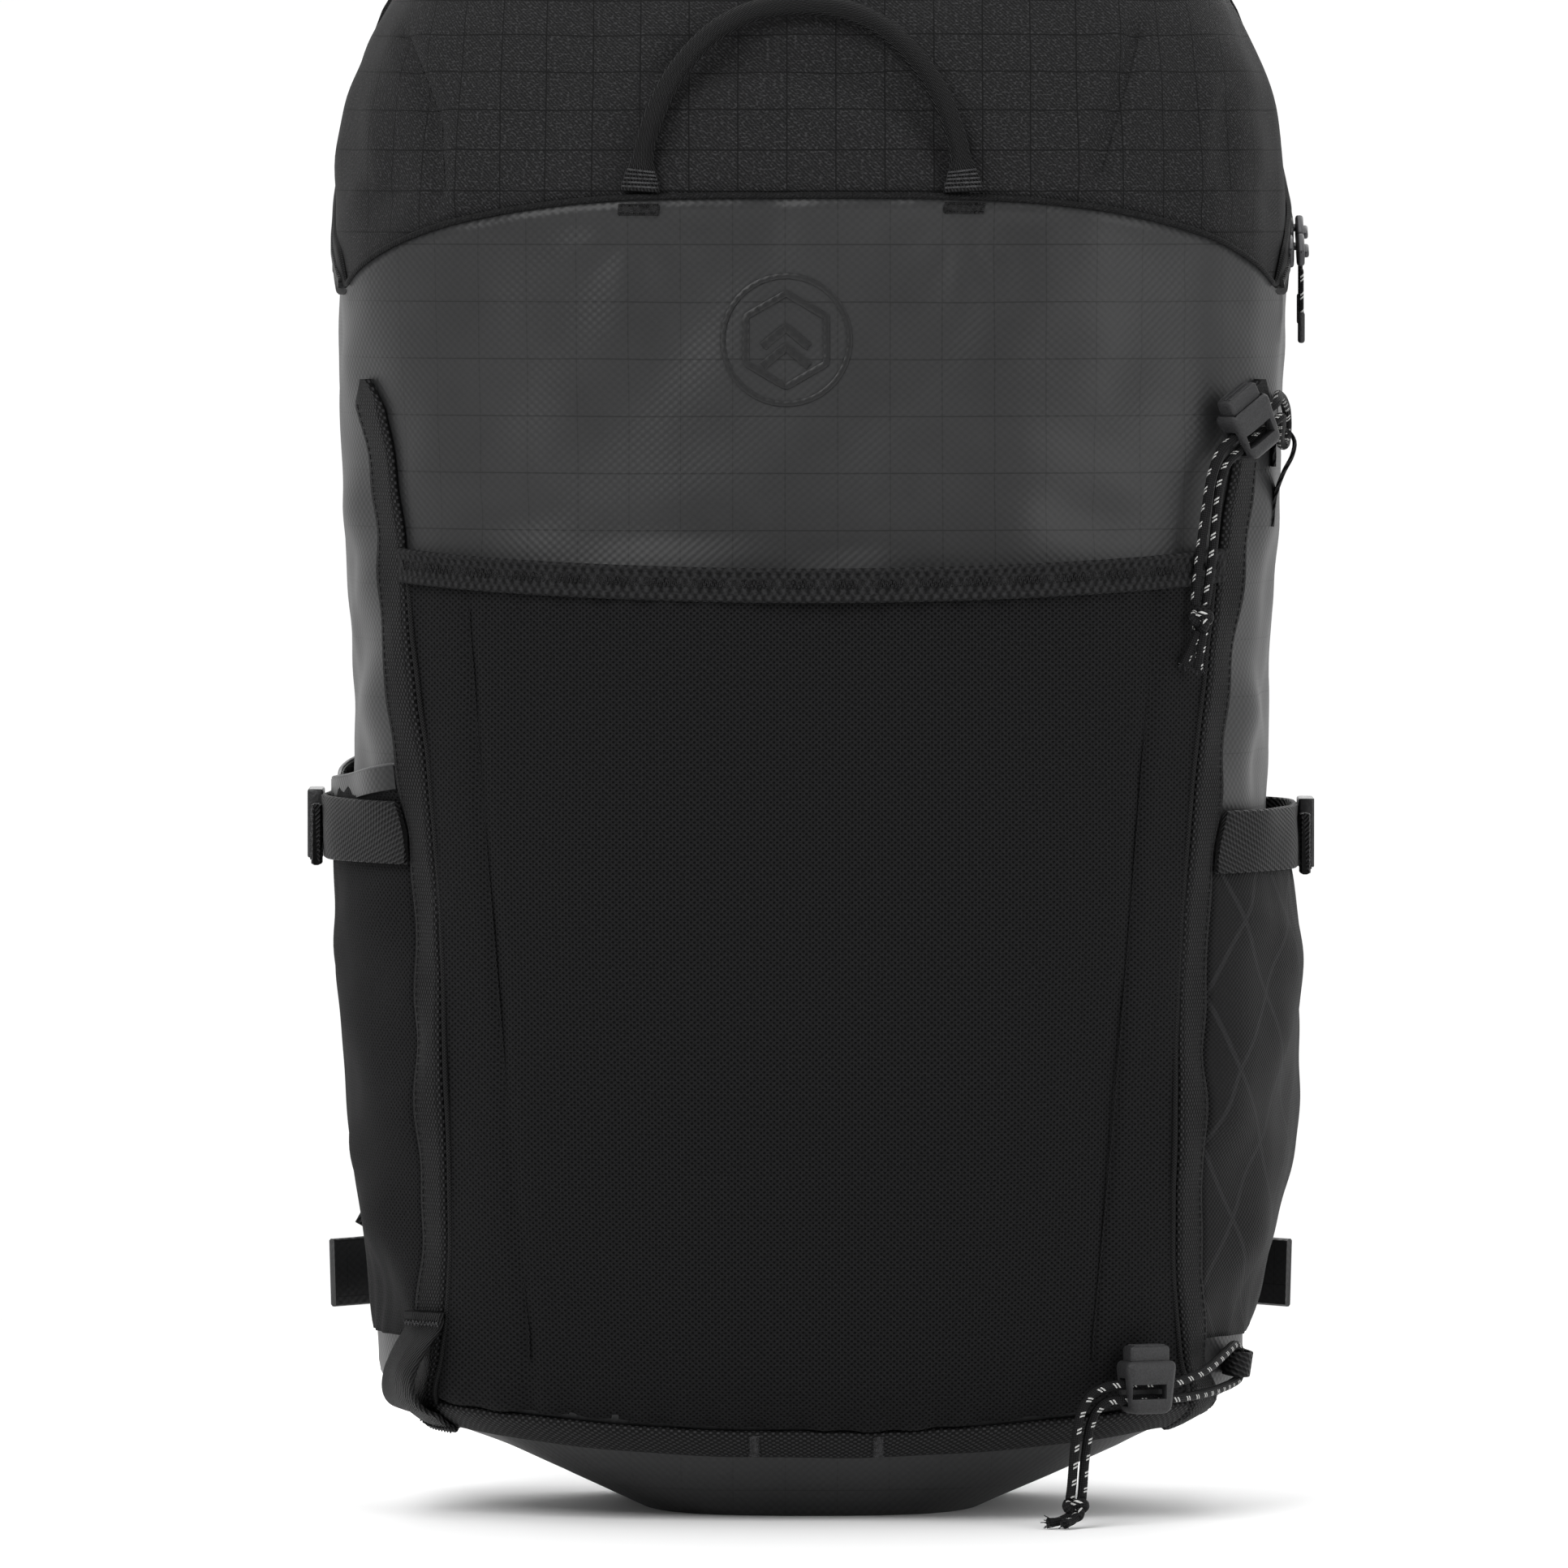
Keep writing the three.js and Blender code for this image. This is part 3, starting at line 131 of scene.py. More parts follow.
def hermite(table, z, column):
    """Smooth value of one column of a table whose first column is a height."""
    last = len(table) - 1
    height = np.clip(z, table[0, 0], table[last, 0])
    i = np.clip(np.searchsorted(table[:, 0], height, side="right") - 1, 0, last - 1)

    def slope(k):
        low, high = np.maximum(k - 1, 0), np.minimum(k + 1, last)
        return (table[high, column] - table[low, column]) / (table[high, 0] - table[low, 0])

    span = table[i + 1, 0] - table[i, 0]
    t = (height - table[i, 0]) / span
    value = (2 * t**3 - 3 * t**2 + 1) * table[i, column] + (t**3 - 2 * t**2 + t) * slope(i) * span
    return value + (3 * t**2 - 2 * t**3) * table[i + 1, column] + (t**3 - t**2) * slope(i + 1) * span


def outline(z):
    """Half width, front, back and widest place of the bag's outline at a height."""
    rise = np.clip((z - SHOULDER_Z) / CROWN_HEIGHT, 0, 1)
    shrink = (1 - rise**2.5) ** 0.4
    shrink_back = (1 - rise**6) ** (1 / 6)
    half = (HALF_WIDTH - hermite(DRAW_IN, z, 1)) * shrink
    front = CROWN_Y + (-FRONT_DEPTH + hermite(DRAW_IN, z, 2) - CROWN_Y * (rise > 0)) * shrink
    front = np.where(rise > 0, front, -FRONT_DEPTH + hermite(DRAW_IN, z, 2))
    back = BACK_DEPTH - hermite(DRAW_IN, z, 3)
    back = np.where(rise > 0, CROWN_Y + (back - CROWN_Y) * shrink_back, back)
    t = np.clip((rise - 0.93) / 0.07, 0, 1)
    return half, front, back, WIDEST_Y + (CROWN_Y - WIDEST_Y) * t * t * (3 - 2 * t)


def height_of(run):
    """Height at a distance up the bag's side and over the crown."""
    turn = np.clip((run - SHOULDER_Z) / CROWN_RUN, 0, 1) * math.pi / 2
    return np.where(run <= SHOULDER_Z, run, SHOULDER_Z + CROWN_HEIGHT * np.sin(turn))


def run_at(z):
    """Distance up the side for a height, the inverse of height_of."""
    rise = np.clip((z - SHOULDER_Z) / CROWN_HEIGHT, 0, 1)
    return np.where(z <= SHOULDER_Z, z, SHOULDER_Z + CROWN_RUN * np.arcsin(rise) / (math.pi / 2))


def ring(turn, run):
    z = height_of(run)
    half, front, back, middle = outline(z)
    c, s = np.cos(turn), np.sin(turn)
    power = np.where(s < 0, FRONT_ROUND, BACK_ROUND)
    reach = (np.abs(c) ** power + np.abs(s) ** power) ** (-1 / power)
    deep = np.where(s < 0, middle - front, back - middle)
    return np.stack([half * c * reach, middle + deep * s * reach, z + 0 * turn], -1)


def normal_at(turn, run):
    step = 0.004
    across = ring(turn + step, run) - ring(turn - step, run)
    up = ring(turn, run + 0.3) - ring(turn, run - 0.3)
    n = np.cross(across, up)
    return n / np.maximum(np.linalg.norm(n, axis=-1, keepdims=True), 1e-9)


def turn_at_x(x, z):
    """Turn at which the front of the outline reaches x."""
    share = np.clip(np.abs(x) / outline(z)[0], 0, 1)
    return np.arctan2(-((1 - share**FRONT_ROUND) ** (1 / FRONT_ROUND)), share * np.sign(x))


def turn_at_y(y, z, side):
    """Turn at which one side of the outline reaches y."""
    _, front, back, middle = outline(z)
    behind = y > middle
    share = np.clip(np.abs(y - middle) / np.where(behind, back - middle, middle - front), 0, 1)
    power = np.where(behind, BACK_ROUND, FRONT_ROUND)
    flat = (1 - share**power) ** (1 / power)
    return np.arctan2(np.where(behind, share, -share), side * flat)


def edge_x(z):
    return outline(z)[0] - hermite(EDGE_PATH, z, 1)


def bump_at(distance, width):
    return np.exp(-((distance / width) ** 2))


def from_line(x, z, points):
    """Distance from a broken line in the front view."""
    best = np.full(np.shape(x), 1e3)
    for (ax, az), (bx, bz) in zip(points, points[1:]):
        length = (bx - ax) ** 2 + (bz - az) ** 2
        t = np.clip(((x - ax) * (bx - ax) + (z - az) * (bz - az)) / length, 0, 1)
        best = np.minimum(best, np.hypot(x - ax - t * (bx - ax), z - az - t * (bz - az)))
    return best


def smooth(t):
    t = np.clip(t, 0, 1)
    return t * t * (3 - 2 * t)


def relief(p, depth=1.0):
    """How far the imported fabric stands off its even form, in mm, from its folds and puckers."""
    x, y, z = p[..., 0], p[..., 1], p[..., 2]
    rng = np.random.default_rng(11)
    soft = np.zeros(x.shape)
    for wavelength, size in ((88, 1.0), (64, 0.8), (47, 0.7), (35, 0.5), (27, 0.32), (21, 0.2)):
        for _ in range(2):
            k = rng.normal(size=3)
            k *= 2 * math.pi / wavelength / np.linalg.norm(k)
            soft += size * 0.5 * np.sin(p @ k + rng.uniform(0, 2 * math.pi))
    front = smooth((-20 - y) / 40)
    edge = edge_x(np.clip(z, 29, 360))
    inside = smooth((edge - np.abs(x)) / 10) * front
    pocket = inside * smooth((300 - z) / 12)
    flat_back = smooth((y - 52) / 12)
    calm = (1 - 0.75 * pocket) * (1 - 0.85 * flat_back) * smooth((z + 5) / 40)
    lid = smooth((z - 418) / 10) * front
    out = soft * calm * (1 - 0.35 * lid)
    # gathers under the lid seam, and puckers that spread from the handle's bartacks
    below = np.clip(SEAM_Z - z, 0, None)
    gather = np.exp(-below / 15) * (z < SEAM_Z + 2) * front
    out += gather * (0.55 * np.sin(x / 4.9 + 0.6) + 0.35 * np.sin(x / 2.9 + 2.1) + 0.2 * np.sin(x / 9.1))
    for x0 in (-53, 47):
        dx, dz = x - x0, 409 - z
        r = np.hypot(dx, dz)
        fan = 0.5 + 0.5 * np.cos(9 * np.arctan2(dx, dz + 4))
        out -= 1.0 * bump_at(r - 12, 14) * fan * (dz > -3) * front
    # dimples above the pocket's binding
    for x0, z0, w, h in ((-94, 318, 16, 8), (-44, 312, 24, 7), (14, 309, 20, 6), (88, 317, 16, 8), (56, 326, 22, 9)):
        out -= 1.7 * np.exp(-(((x - x0) / w) ** 2) - ((z - z0) / h) ** 2) * front
    out -= 0.8 * bump_at(from_line(x, z, [(-60, 392), (-20, 372), (40, 352), (90, 340)]), 16) * front
    out += 0.9 * bump_at(from_line(x, z, [(-100, 398), (-96, 360), (-104, 330)]), 9) * front
    # the fabric outside the edge webbing, drawn into soft folds
    outside = smooth((np.abs(x) - edge + 2) / 8) * smooth((372 - z) / 30) * (1 - flat_back)
    outside *= smooth((2 - y) / 40)
    out += outside * (0.7 * np.sin(z / 5.3 + y / 19 + 0.4 * np.sign(x)) + 0.6 * np.sin(z / 8.7 - y / 13))
    fold = from_line(np.abs(x), z, [(152, 112), (141, 84), (126, 47)])
    out -= 2.4 * bump_at(fold, 6.5) * (1 - flat_back)
    out += 1.3 * bump_at(from_line(np.abs(x), z, [(146, 66), (134, 36)]), 6) * (1 - flat_back)
    # darts and soft folds of the lid
    for dart in ([(-130, 469), (-119, 441), (-117, 418)], [(103, 470), (90, 425)]):
        out -= 2.3 * bump_at(from_line(x, z, dart), 2.8) * front
        out += 0.9 * bump_at(from_line(x + 7 * np.sign(x), z, dart), 5.0) * front
    out -= 2.4 * bump_at(from_line(x, z, [(-42, 459), (-12, 462), (14, 457), (34, 444), (44, 430)]), 5.5) * front
    out += 1.6 * bump_at(from_line(x, z, [(-48, 446), (-14, 449), (16, 443), (34, 430)]), 7) * front
    out += 1.3 * bump_at(from_line(x, z, [(122, 421), (126, 452)]), 3.5) * front
    out -= 1.1 * bump_at(from_line(x, z, [(131, 421), (131, 446)]), 3.0) * front
    out += 1.0 * bump_at(from_line(x, z, [(-137, 424), (-141, 450)]), 4.0) * front
    return out * depth


def on_bag(turn, z, lift, depth=1.0):
    """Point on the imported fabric, lifted off it by a distance."""
    turn, z = np.broadcast_arrays(np.asarray(turn, float), np.asarray(z, float))
    run = run_at(z)
    p = ring(turn, run)
    return p + normal_at(turn, run) * (np.asarray(lift) + relief(p, depth))[..., None]


def front_at(x, z, lift):
    return on_bag(turn_at_x(x, z), z, lift)


SEAM_TABLE_Y = np.arange(-150, 38.01, 0.5)


def seam_table():
    y = SEAM_TABLE_Y
    z = np.interp(y, [-150, -109, -40, 22], [SEAM_Z, SEAM_Z, 388, SEAM_Z])
    t = 1 - np.sqrt(np.clip(1 - (y - 22) / 16, 0, 1))
    z = np.where(y > 22, SEAM_Z + 16 * t + 14 * t * t, z)
    wide = np.pad(z, 12, mode="edge")
    even = np.convolve(wide, np.ones(17) / 17, mode="same")[12:-12]
    return np.where(y > 26, z, even)


SEAM_TABLE_Z = seam_table()


def past_seam(turn, run):
    """Above zero where a point of the bag belongs to the lid."""
    p = ring(turn, run)
    return np.minimum(ZIP_PLANE_Y - p[..., 1], p[..., 2] - np.interp(p[..., 1], SEAM_TABLE_Y, SEAM_TABLE_Z))


def seam_run(turn):
    """Distance up the side at which each turn meets the lid's seam."""
    runs = np.arange(320, 600.01, 1.0)
    value = past_seam(turn[:, None], runs[None, :] + 0 * turn[:, None])
    first = np.argmax(value > 0, axis=1)
    high = runs[first]
    low = high - 1.0
    for _ in range(14):
        mid = (low + high) / 2
        above = past_seam(turn, mid) > 0
        high, low = np.where(above, mid, high), np.where(above, low, mid)
    return (low + high) / 2


def seam_turns(count):
    """Turns round the bag, starting behind, that space points evenly along the lid's seam."""
    turn = np.linspace(math.pi / 2, math.pi / 2 + 2 * math.pi, 3001)
    wrapped = np.arctan2(np.sin(turn), np.cos(turn))
    p = ring(wrapped, seam_run(wrapped))
    walk = np.concatenate([[0], np.cumsum(np.linalg.norm(np.diff(p, axis=0), axis=1))])
    return np.interp(np.linspace(0, walk[-1], count + 1), walk, turn)


# ---------------------------------------------------------------- mesh helpers

def activate(obj):
    for other in bpy.context.view_layer.objects:
        other.select_set(False)
    obj.select_set(True)
    bpy.context.view_layer.objects.active = obj


def apply_modifier(obj, kind, **settings):
    modifier = obj.modifiers.new("step", kind)
    for key, value in settings.items():
        setattr(modifier, key, value)
    activate(obj)
    bpy.ops.object.modifier_apply(modifier=modifier.name)


def new_mesh(name, points, faces, uv=None, sharp=None):
    """Object from points in mm, faces, and a UV in metres for each corner of each face."""
    mesh = bpy.data.meshes.new(name)
    mesh.from_pydata((np.asarray(points) * MM).tolist(), [], faces)
    if uv is not None:
        layer = mesh.uv_layers.new(name="UVMap")
        layer.data.foreach_set("uv", (np.asarray(uv, np.float32).reshape(-1) * MM).astype(np.float32))
    mesh.polygons.foreach_set("use_smooth", [True] * len(mesh.polygons))
    obj = bpy.data.objects.new(name, mesh)
    bpy.context.scene.collection.objects.link(obj)
    if sharp is not None:
        activate(obj)
        bpy.ops.object.shade_smooth_by_angle(angle=sharp)
    return obj


def grid_faces(rows, columns, wrap=False, start=0):
    """Quads of a grid of points, and the grid places of their corners."""
    faces, corners = [], []
    for j in range(rows - 1):
        for i in range(columns if wrap else columns - 1):
            k = (i + 1) % columns if wrap else i + 1
            faces.append([start + j * columns + i, start + j * columns + k,
                          start + (j + 1) * columns + k, start + (j + 1) * columns + i])
            corners.append([(j, i), (j, i + 1), (j + 1, i + 1), (j + 1, i)])
    return faces, corners


def cloth_grid(name, points, uv, thickness, sharp=None, flip=False):
    """Open sheet from a grid of points (rows, columns, 3), thickened inwards."""
    rows, columns = points.shape[:2]
    faces, corners = grid_faces(rows, columns)
    if flip:
        faces = [face[::-1] for face in faces]
        corners = [corner[::-1] for corner in corners]
    loops = [uv[j, i] for corner in corners for j, i in corner]
    obj = new_mesh(name, points.reshape(-1, 3), faces, loops, sharp)
    if thickness:
        apply_modifier(obj, "SOLIDIFY", thickness=thickness * MM, offset=-1)
    return obj


def tube(name, rings_, closed=False, caps=True, sharp=None, lap=None):
    """Closed skin through rings of points (stations, sides, 3), outward-facing, with UV along and around."""
    rings_ = np.asarray(rings_, float)
    stations, sides = rings_.shape[:2]
    middle = rings_.mean(axis=1)
    if closed:
        rings_ = np.concatenate([rings_, rings_[:1]])
        middle = np.concatenate([middle, middle[:1]])
    along = np.concatenate([[0], np.cumsum(np.linalg.norm(np.diff(middle, axis=0), axis=1))])
    around = np.concatenate([[0], np.cumsum(np.linalg.norm(
        np.roll(rings_[0], -1, axis=0) - rings_[0], axis=1))])
    if lap:
        around = around / around[-1] * lap
    points = rings_[:stations].reshape(-1, 3)
    faces, loops = [], []
    for j in range(stations if closed else stations - 1):
        for i in range(sides):
            a, b = j * sides + i, j * sides + (i + 1) % sides
            up = ((j + 1) % stations) * sides
            faces.append([a, b, up + (i + 1) % sides, up + i])
            loops += [(along[j], around[i]), (along[j], around[i + 1]),
                      (along[j + 1], around[i + 1]), (along[j + 1], around[i])]
    if caps and not closed:
        faces.append(list(range(sides))[::-1])
        loops += [(along[0], around[i]) for i in range(sides)][::-1]
        last = (stations - 1) * sides
        faces.append([last + i for i in range(sides)])
        loops += [(along[-1], around[i]) for i in range(sides)]
    obj = new_mesh(name, points, faces, loops, sharp)
    face_out(obj)
    return obj


def face_out(obj):
    work = bmesh.new()
    work.from_mesh(obj.data)
    bmesh.ops.recalc_face_normals(work, faces=work.faces)
    work.to_mesh(obj.data)
    work.free()


def join(name, objects):
    activate(objects[0])
    for obj in objects:
        obj.select_set(True)
    bpy.context.view_layer.objects.active = objects[0]
    if len(objects) > 1:
        bpy.ops.object.join()
    objects[0].name = name
    objects[0].data.name = name
    return objects[0]


def spline(points, spacing):
    """Centripetal curve through points, sampled evenly."""
    p = np.asarray(points, float)
    ends = np.concatenate([[2 * p[0] - p[1]], p, [2 * p[-1] - p[-2]]])
    out = []
    for k in range(1, len(ends) - 2):
        p0, p1, p2, p3 = ends[k - 1:k + 3]
        t1 = np.linalg.norm(p1 - p0) ** 0.5
        t2 = t1 + np.linalg.norm(p2 - p1) ** 0.5
        t3 = t2 + np.linalg.norm(p3 - p2) ** 0.5
        t = np.linspace(t1, t2, 24, endpoint=False)[:, None]
        a1 = (t1 - t) / t1 * p0 + t / t1 * p1
        a2 = (t2 - t) / (t2 - t1) * p1 + (t - t1) / (t2 - t1) * p2
        a3 = (t3 - t) / (t3 - t2) * p2 + (t - t2) / (t3 - t2) * p3
        b1 = (t2 - t) / t2 * a1 + t / t2 * a2
        b2 = (t3 - t) / (t3 - t1) * a2 + (t - t1) / (t3 - t1) * a3
        out.append((t2 - t) / (t2 - t1) * b1 + (t - t1) / (t2 - t1) * b2)
    return even(np.concatenate(out + [p[-1:]]), spacing)


def even(line, spacing):
    walk = np.concatenate([[0], np.cumsum(np.linalg.norm(np.diff(line, axis=0), axis=1))])
    count = max(2, round(walk[-1] / spacing) + 1)
    at = np.linspace(0, walk[-1], count)
    return np.stack([np.interp(at, walk, line[:, k]) for k in range(3)], -1)


def tangents(line):
    t = np.gradient(line, axis=0)
    return t / np.maximum(np.linalg.norm(t, axis=1, keepdims=True), 1e-9)


def round_rings(line, radius, sides=10):
    """Rings round a line, carried along it without twist."""
    t = tangents(line)
    side = np.cross(t[0], [0.3, 0.2, 1.0])
    rings_ = []
    radius = np.broadcast_to(radius, (len(line),))
    angle = np.arange(sides) / sides * 2 * math.pi
    for k, p in enumerate(line):
        side = side - t[k] * np.dot(side, t[k])
        side = side / np.linalg.norm(side)
        other = np.cross(t[k], side)
        rings_.append(p + radius[k] * (np.cos(angle)[:, None] * side + np.sin(angle)[:, None] * other))
    return np.array(rings_)


def cord_line(name, line, radius, sides=10, closed=False):
    return tube(name, round_rings(np.asarray(line, float), radius, sides), closed=closed)


def flat_section(width, thickness, edge=0.45):
    """Rounded flat section: across, out."""
    w, h = width / 2, thickness
    return np.array([
        [-w, h * 0.25], [-w, h * 0.7], [-w + edge, h], [-w * 0.5, h], [0, h], [w * 0.5, h], [w - edge, h],
        [w, h * 0.7], [w, h * 0.25], [w - edge, 0], [0, 0], [-w + edge, 0],
    ])


def band(name, place, stations, section, sharp=0.9):
    """Strip on the bag: place(v, across, out) gives a point for each station and each corner of the section."""
    rings_ = []
    for v in np.linspace(0, 1, stations):
        rings_.append(place(v, section[:, 0], section[:, 1]))
    return tube(name, rings_, sharp=sharp)


def strap_rings(line, across, width, thickness):
    """Rings of a strap along a line in space; its width lies near the across direction."""
    t = tangents(line)
    across = np.asarray(across, float)
    if across.ndim == 1:
        across = np.repeat(across[None], len(line), 0)
    flat = across - t * np.sum(across * t, axis=1, keepdims=True)
    flat /= np.linalg.norm(flat, axis=1, keepdims=True)
    out = np.cross(t, flat)
    section = flat_section(1.0, 1.0, 0.03) - [0, 0.5]
    width = np.broadcast_to(width, (len(line),))
    return np.array([
        p + section[:, :1] * width[k] * flat[k] + section[:, 1:] * thickness * out[k]
        for k, p in enumerate(line)
    ])


def strap(name, points, across, width, thickness, spacing=2.0):
    return tube(name, strap_rings(spline(points, spacing), across, width, thickness), sharp=0.9)


def zigzag(name, start, end, width_to, count, radius):
    """Dense bartack stitching: a thread that runs to and fro between two edges."""
    start, end, width_to = (np.asarray(v, float) for v in (start, end, width_to))
    line = []
    for k in range(count + 1):
        p = start + (end - start) * k / count
        line.append(p + (width_to if k % 2 else 0 * width_to))
    return cord_line(name, even(np.array(line), 0.7), radius, 5)


def surface_zigzag(name, points, radius, sides=5):
    return cord_line(name, even(np.asarray(points), 0.8), radius, sides)


def block(name, size, at=(0, 0, 0), axes=None, bevel=0.8, segments=2, taper=None):
    """Box made in place from a cube: sized and tapered in edit mode, bevelled, then turned to its axes."""
    activate_none()
    bpy.ops.mesh.primitive_cube_add(size=1)
    obj = bpy.context.object
    obj.name = obj.data.name = name
    bpy.ops.object.mode_set(mode="EDIT")
    bpy.ops.mesh.select_all(action="SELECT")
    bpy.ops.transform.resize(value=[s * MM for s in size])
    bpy.ops.object.mode_set(mode="OBJECT")
    if taper:
        axis, low, high = taper
        for v in obj.data.vertices:
            share = low if v.co[axis[0]] < 0 else high
            v.co[axis[1]] *= share
    if bevel:
        apply_modifier(obj, "BEVEL", width=bevel * MM, segments=segments, limit_method="ANGLE")
    place = Matrix.Translation(Vector(at) * MM)
    if axes is not None:
        place = place @ Matrix([list(row) for row in np.array(axes, float).T]).to_4x4()
    obj.matrix_world = place
    activate(obj)
    bpy.ops.object.transform_apply(location=True, rotation=True, scale=True)
    return obj


def activate_none():
    for other in bpy.context.view_layer.objects:
        other.select_set(False)


def cut(obj, cutters):
    for cutter in cutters:
        apply_modifier(obj, "BOOLEAN", operation="DIFFERENCE", object=cutter, solver="EXACT")
        bpy.data.objects.remove(cutter, do_unlink=True)
    return obj


def finish_hard(obj, bevel=0.3, angle=0.6):
    if bevel:
        apply_modifier(obj, "BEVEL", width=bevel * MM, segments=2, limit_method="ANGLE", angle_limit=angle)
    activate(obj)
    bpy.ops.object.shade_smooth_by_angle(angle=0.6)
    return obj


def cad_copy(node, name, bevel=0.0):
    """A CAD node's shape as a mesh of its own, merged, with its edges rounded."""
    source = frame["nodes"][node]
    obj = bpy.data.objects.new(name, source.data.copy())
    obj.data.name = name
    bpy.context.scene.collection.objects.link(obj)
    obj.data.materials.clear()
    activate(obj)
    bpy.ops.object.mode_set(mode="EDIT")
    bpy.ops.mesh.select_all(action="SELECT")
    bpy.ops.mesh.remove_doubles(threshold=0.00002)
    bpy.ops.mesh.dissolve_limited(angle_limit=0.02)
    bpy.ops.mesh.normals_make_consistent(inside=False)
    bpy.ops.object.mode_set(mode="OBJECT")
    if bevel:
        finish_hard(obj, bevel)
    return obj


def dress(obj, material, body="root", nodes=()):
    """Gives a finished piece its material, the body it moves with and the CAD nodes it stands for."""
    if material is not None:
        obj.data.materials.clear()
        obj.data.materials.append(materials()[material])
    if body:
        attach(obj, body)
    if nodes:
        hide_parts(*nodes)
    return obj


# ---------------------------------------------------------------- materials

class Recipe:
    """A procedural material, built one node at a time."""

    def __init__(self, name, color, roughness, **values):
        self.material = bpy.data.materials.new(name)
        self.material.use_nodes = True
        self.tree = self.material.node_tree
        self.shader = self.tree.nodes["Principled BSDF"]
        self.shader.inputs["Base Color"].default_value = (*color, 1)
        self.shader.inputs["Roughness"].default_value = roughness
        for key, value in values.items():
            self.shader.inputs[key.replace("_", " ")].default_value = value
        coordinates = self.tree.nodes.new("ShaderNodeTexCoord")
        self.object = coordinates.outputs["Object"]
        self.uv = coordinates.outputs["UV"]
        split = self.tree.nodes.new("ShaderNodeSeparateXYZ")
        self.tree.links.new(self.uv, split.inputs[0])
        self.u, self.v = split.outputs["X"], split.outputs["Y"]

    def calc(self, operation, a, b=0.0, c=0.0):
        node = self.tree.nodes.new("ShaderNodeMath")
        node.operation = operation
        for socket, value in zip(node.inputs, (a, b, c)):
            if isinstance(value, bpy.types.NodeSocket):
                self.tree.links.new(value, socket)
            else:
                socket.default_value = value
        return node.outputs[0]

    def wave(self, value, pitch, shift=0.0):
        turned = self.calc("MULTIPLY_ADD", value, 2 * math.pi / pitch, shift)
        return self.calc("SINE", turned)

    def noise(self, vector, size, detail=2.0, stretch=None):
        if stretch:
            scale = self.tree.nodes.new("ShaderNodeVectorMath")
            scale.operation = "MULTIPLY"
            self.tree.links.new(vector, scale.inputs[0])
            scale.inputs[1].default_value = stretch
            vector = scale.outputs[0]
        node = self.tree.nodes.new("ShaderNodeTexNoise")
        node.inputs["Scale"].default_value = 1 / size
        node.inputs["Detail"].default_value = detail
        self.tree.links.new(vector, node.inputs["Vector"])
        return node.outputs[0]

    def line(self, value, pitch, width, shift=0.0):
        """One on thin lines at every pitch, else zero."""
        place = self.calc("FRACT", self.calc("MULTIPLY_ADD", value, 1 / pitch, shift))
        from_middle = self.calc("ABSOLUTE", self.calc("SUBTRACT", place, 0.5))
        return self.calc("LESS_THAN", from_middle, width / pitch / 2)

    def between(self, value, low, high):
        node = self.tree.nodes.new("ShaderNodeMapRange")
        node.interpolation_type = "SMOOTHSTEP"
        self.tree.links.new(value, node.inputs["Value"])
        node.inputs["From Min"].default_value = low
        node.inputs["From Max"].default_value = high
        return node.outputs[0]

    def tint(self, share, low, high):
        """Base colour from low to high by a value."""
        node = self.tree.nodes.new("ShaderNodeMix")
        node.data_type = "RGBA"
        if isinstance(share, bpy.types.NodeSocket):
            self.tree.links.new(share, node.inputs["Factor"])
        node.inputs[6].default_value = (*low, 1)
        node.inputs[7].default_value = (*high, 1)
        self.tree.links.new(node.outputs[2], self.shader.inputs["Base Color"])
        return node

    def rough(self, share, low, high):
        node = self.tree.nodes.new("ShaderNodeMapRange")
        self.tree.links.new(share, node.inputs["Value"])
        node.inputs["To Min"].default_value = low
        node.inputs["To Max"].default_value = high
        self.tree.links.new(node.outputs[0], self.shader.inputs["Roughness"])

    def emboss(self, height, distance, strength=1.0):
        node = self.tree.nodes.new("ShaderNodeBump")
        node.inputs["Strength"].default_value = strength
        node.inputs["Distance"].default_value = distance
        self.tree.links.new(height, node.inputs["Height"])
        self.tree.links.new(node.outputs[0], self.shader.inputs["Normal"])


def shade(color, factor):
    return tuple(c * factor for c in color)


def coated(name, color, roughness):
    r = Recipe(name, color, roughness, Specular_IOR_Level=0.24)
    cells = r.calc("MULTIPLY", r.wave(r.u, 0.0030), r.wave(r.v, 0.0026))
    grid = r.calc("MAXIMUM", r.calc("MULTIPLY", r.line(r.u, 0.0165, 0.0004), 0.4), r.line(r.v, 0.0179, 0.0004))
    cloud = r.noise(r.object, 0.03, 3)
    height = r.calc("ADD", cells, r.calc("MULTIPLY", grid, -0.9))
    height = r.calc("MULTIPLY_ADD", cloud, 1.5, height)
    r.emboss(height, 0.00004)
    r.rough(cloud, roughness - 0.06, roughness + 0.1)
    # Painted highlight: the raised tops of the embossed cells are coloured lighter. The darker grid lines are the
    # fabric's own ripstop lines, and the cloud noise varies its tone at random.
    lit = r.calc("SUBTRACT", r.calc("MULTIPLY_ADD", cells, 0.12, 0.5), r.calc("MULTIPLY", grid, 0.8))
    r.tint(r.calc("MULTIPLY_ADD", cloud, 0.4, r.calc("SUBTRACT", lit, 0.2)), shade(color, 0.55), shade(color, 1.5))
    return r.material


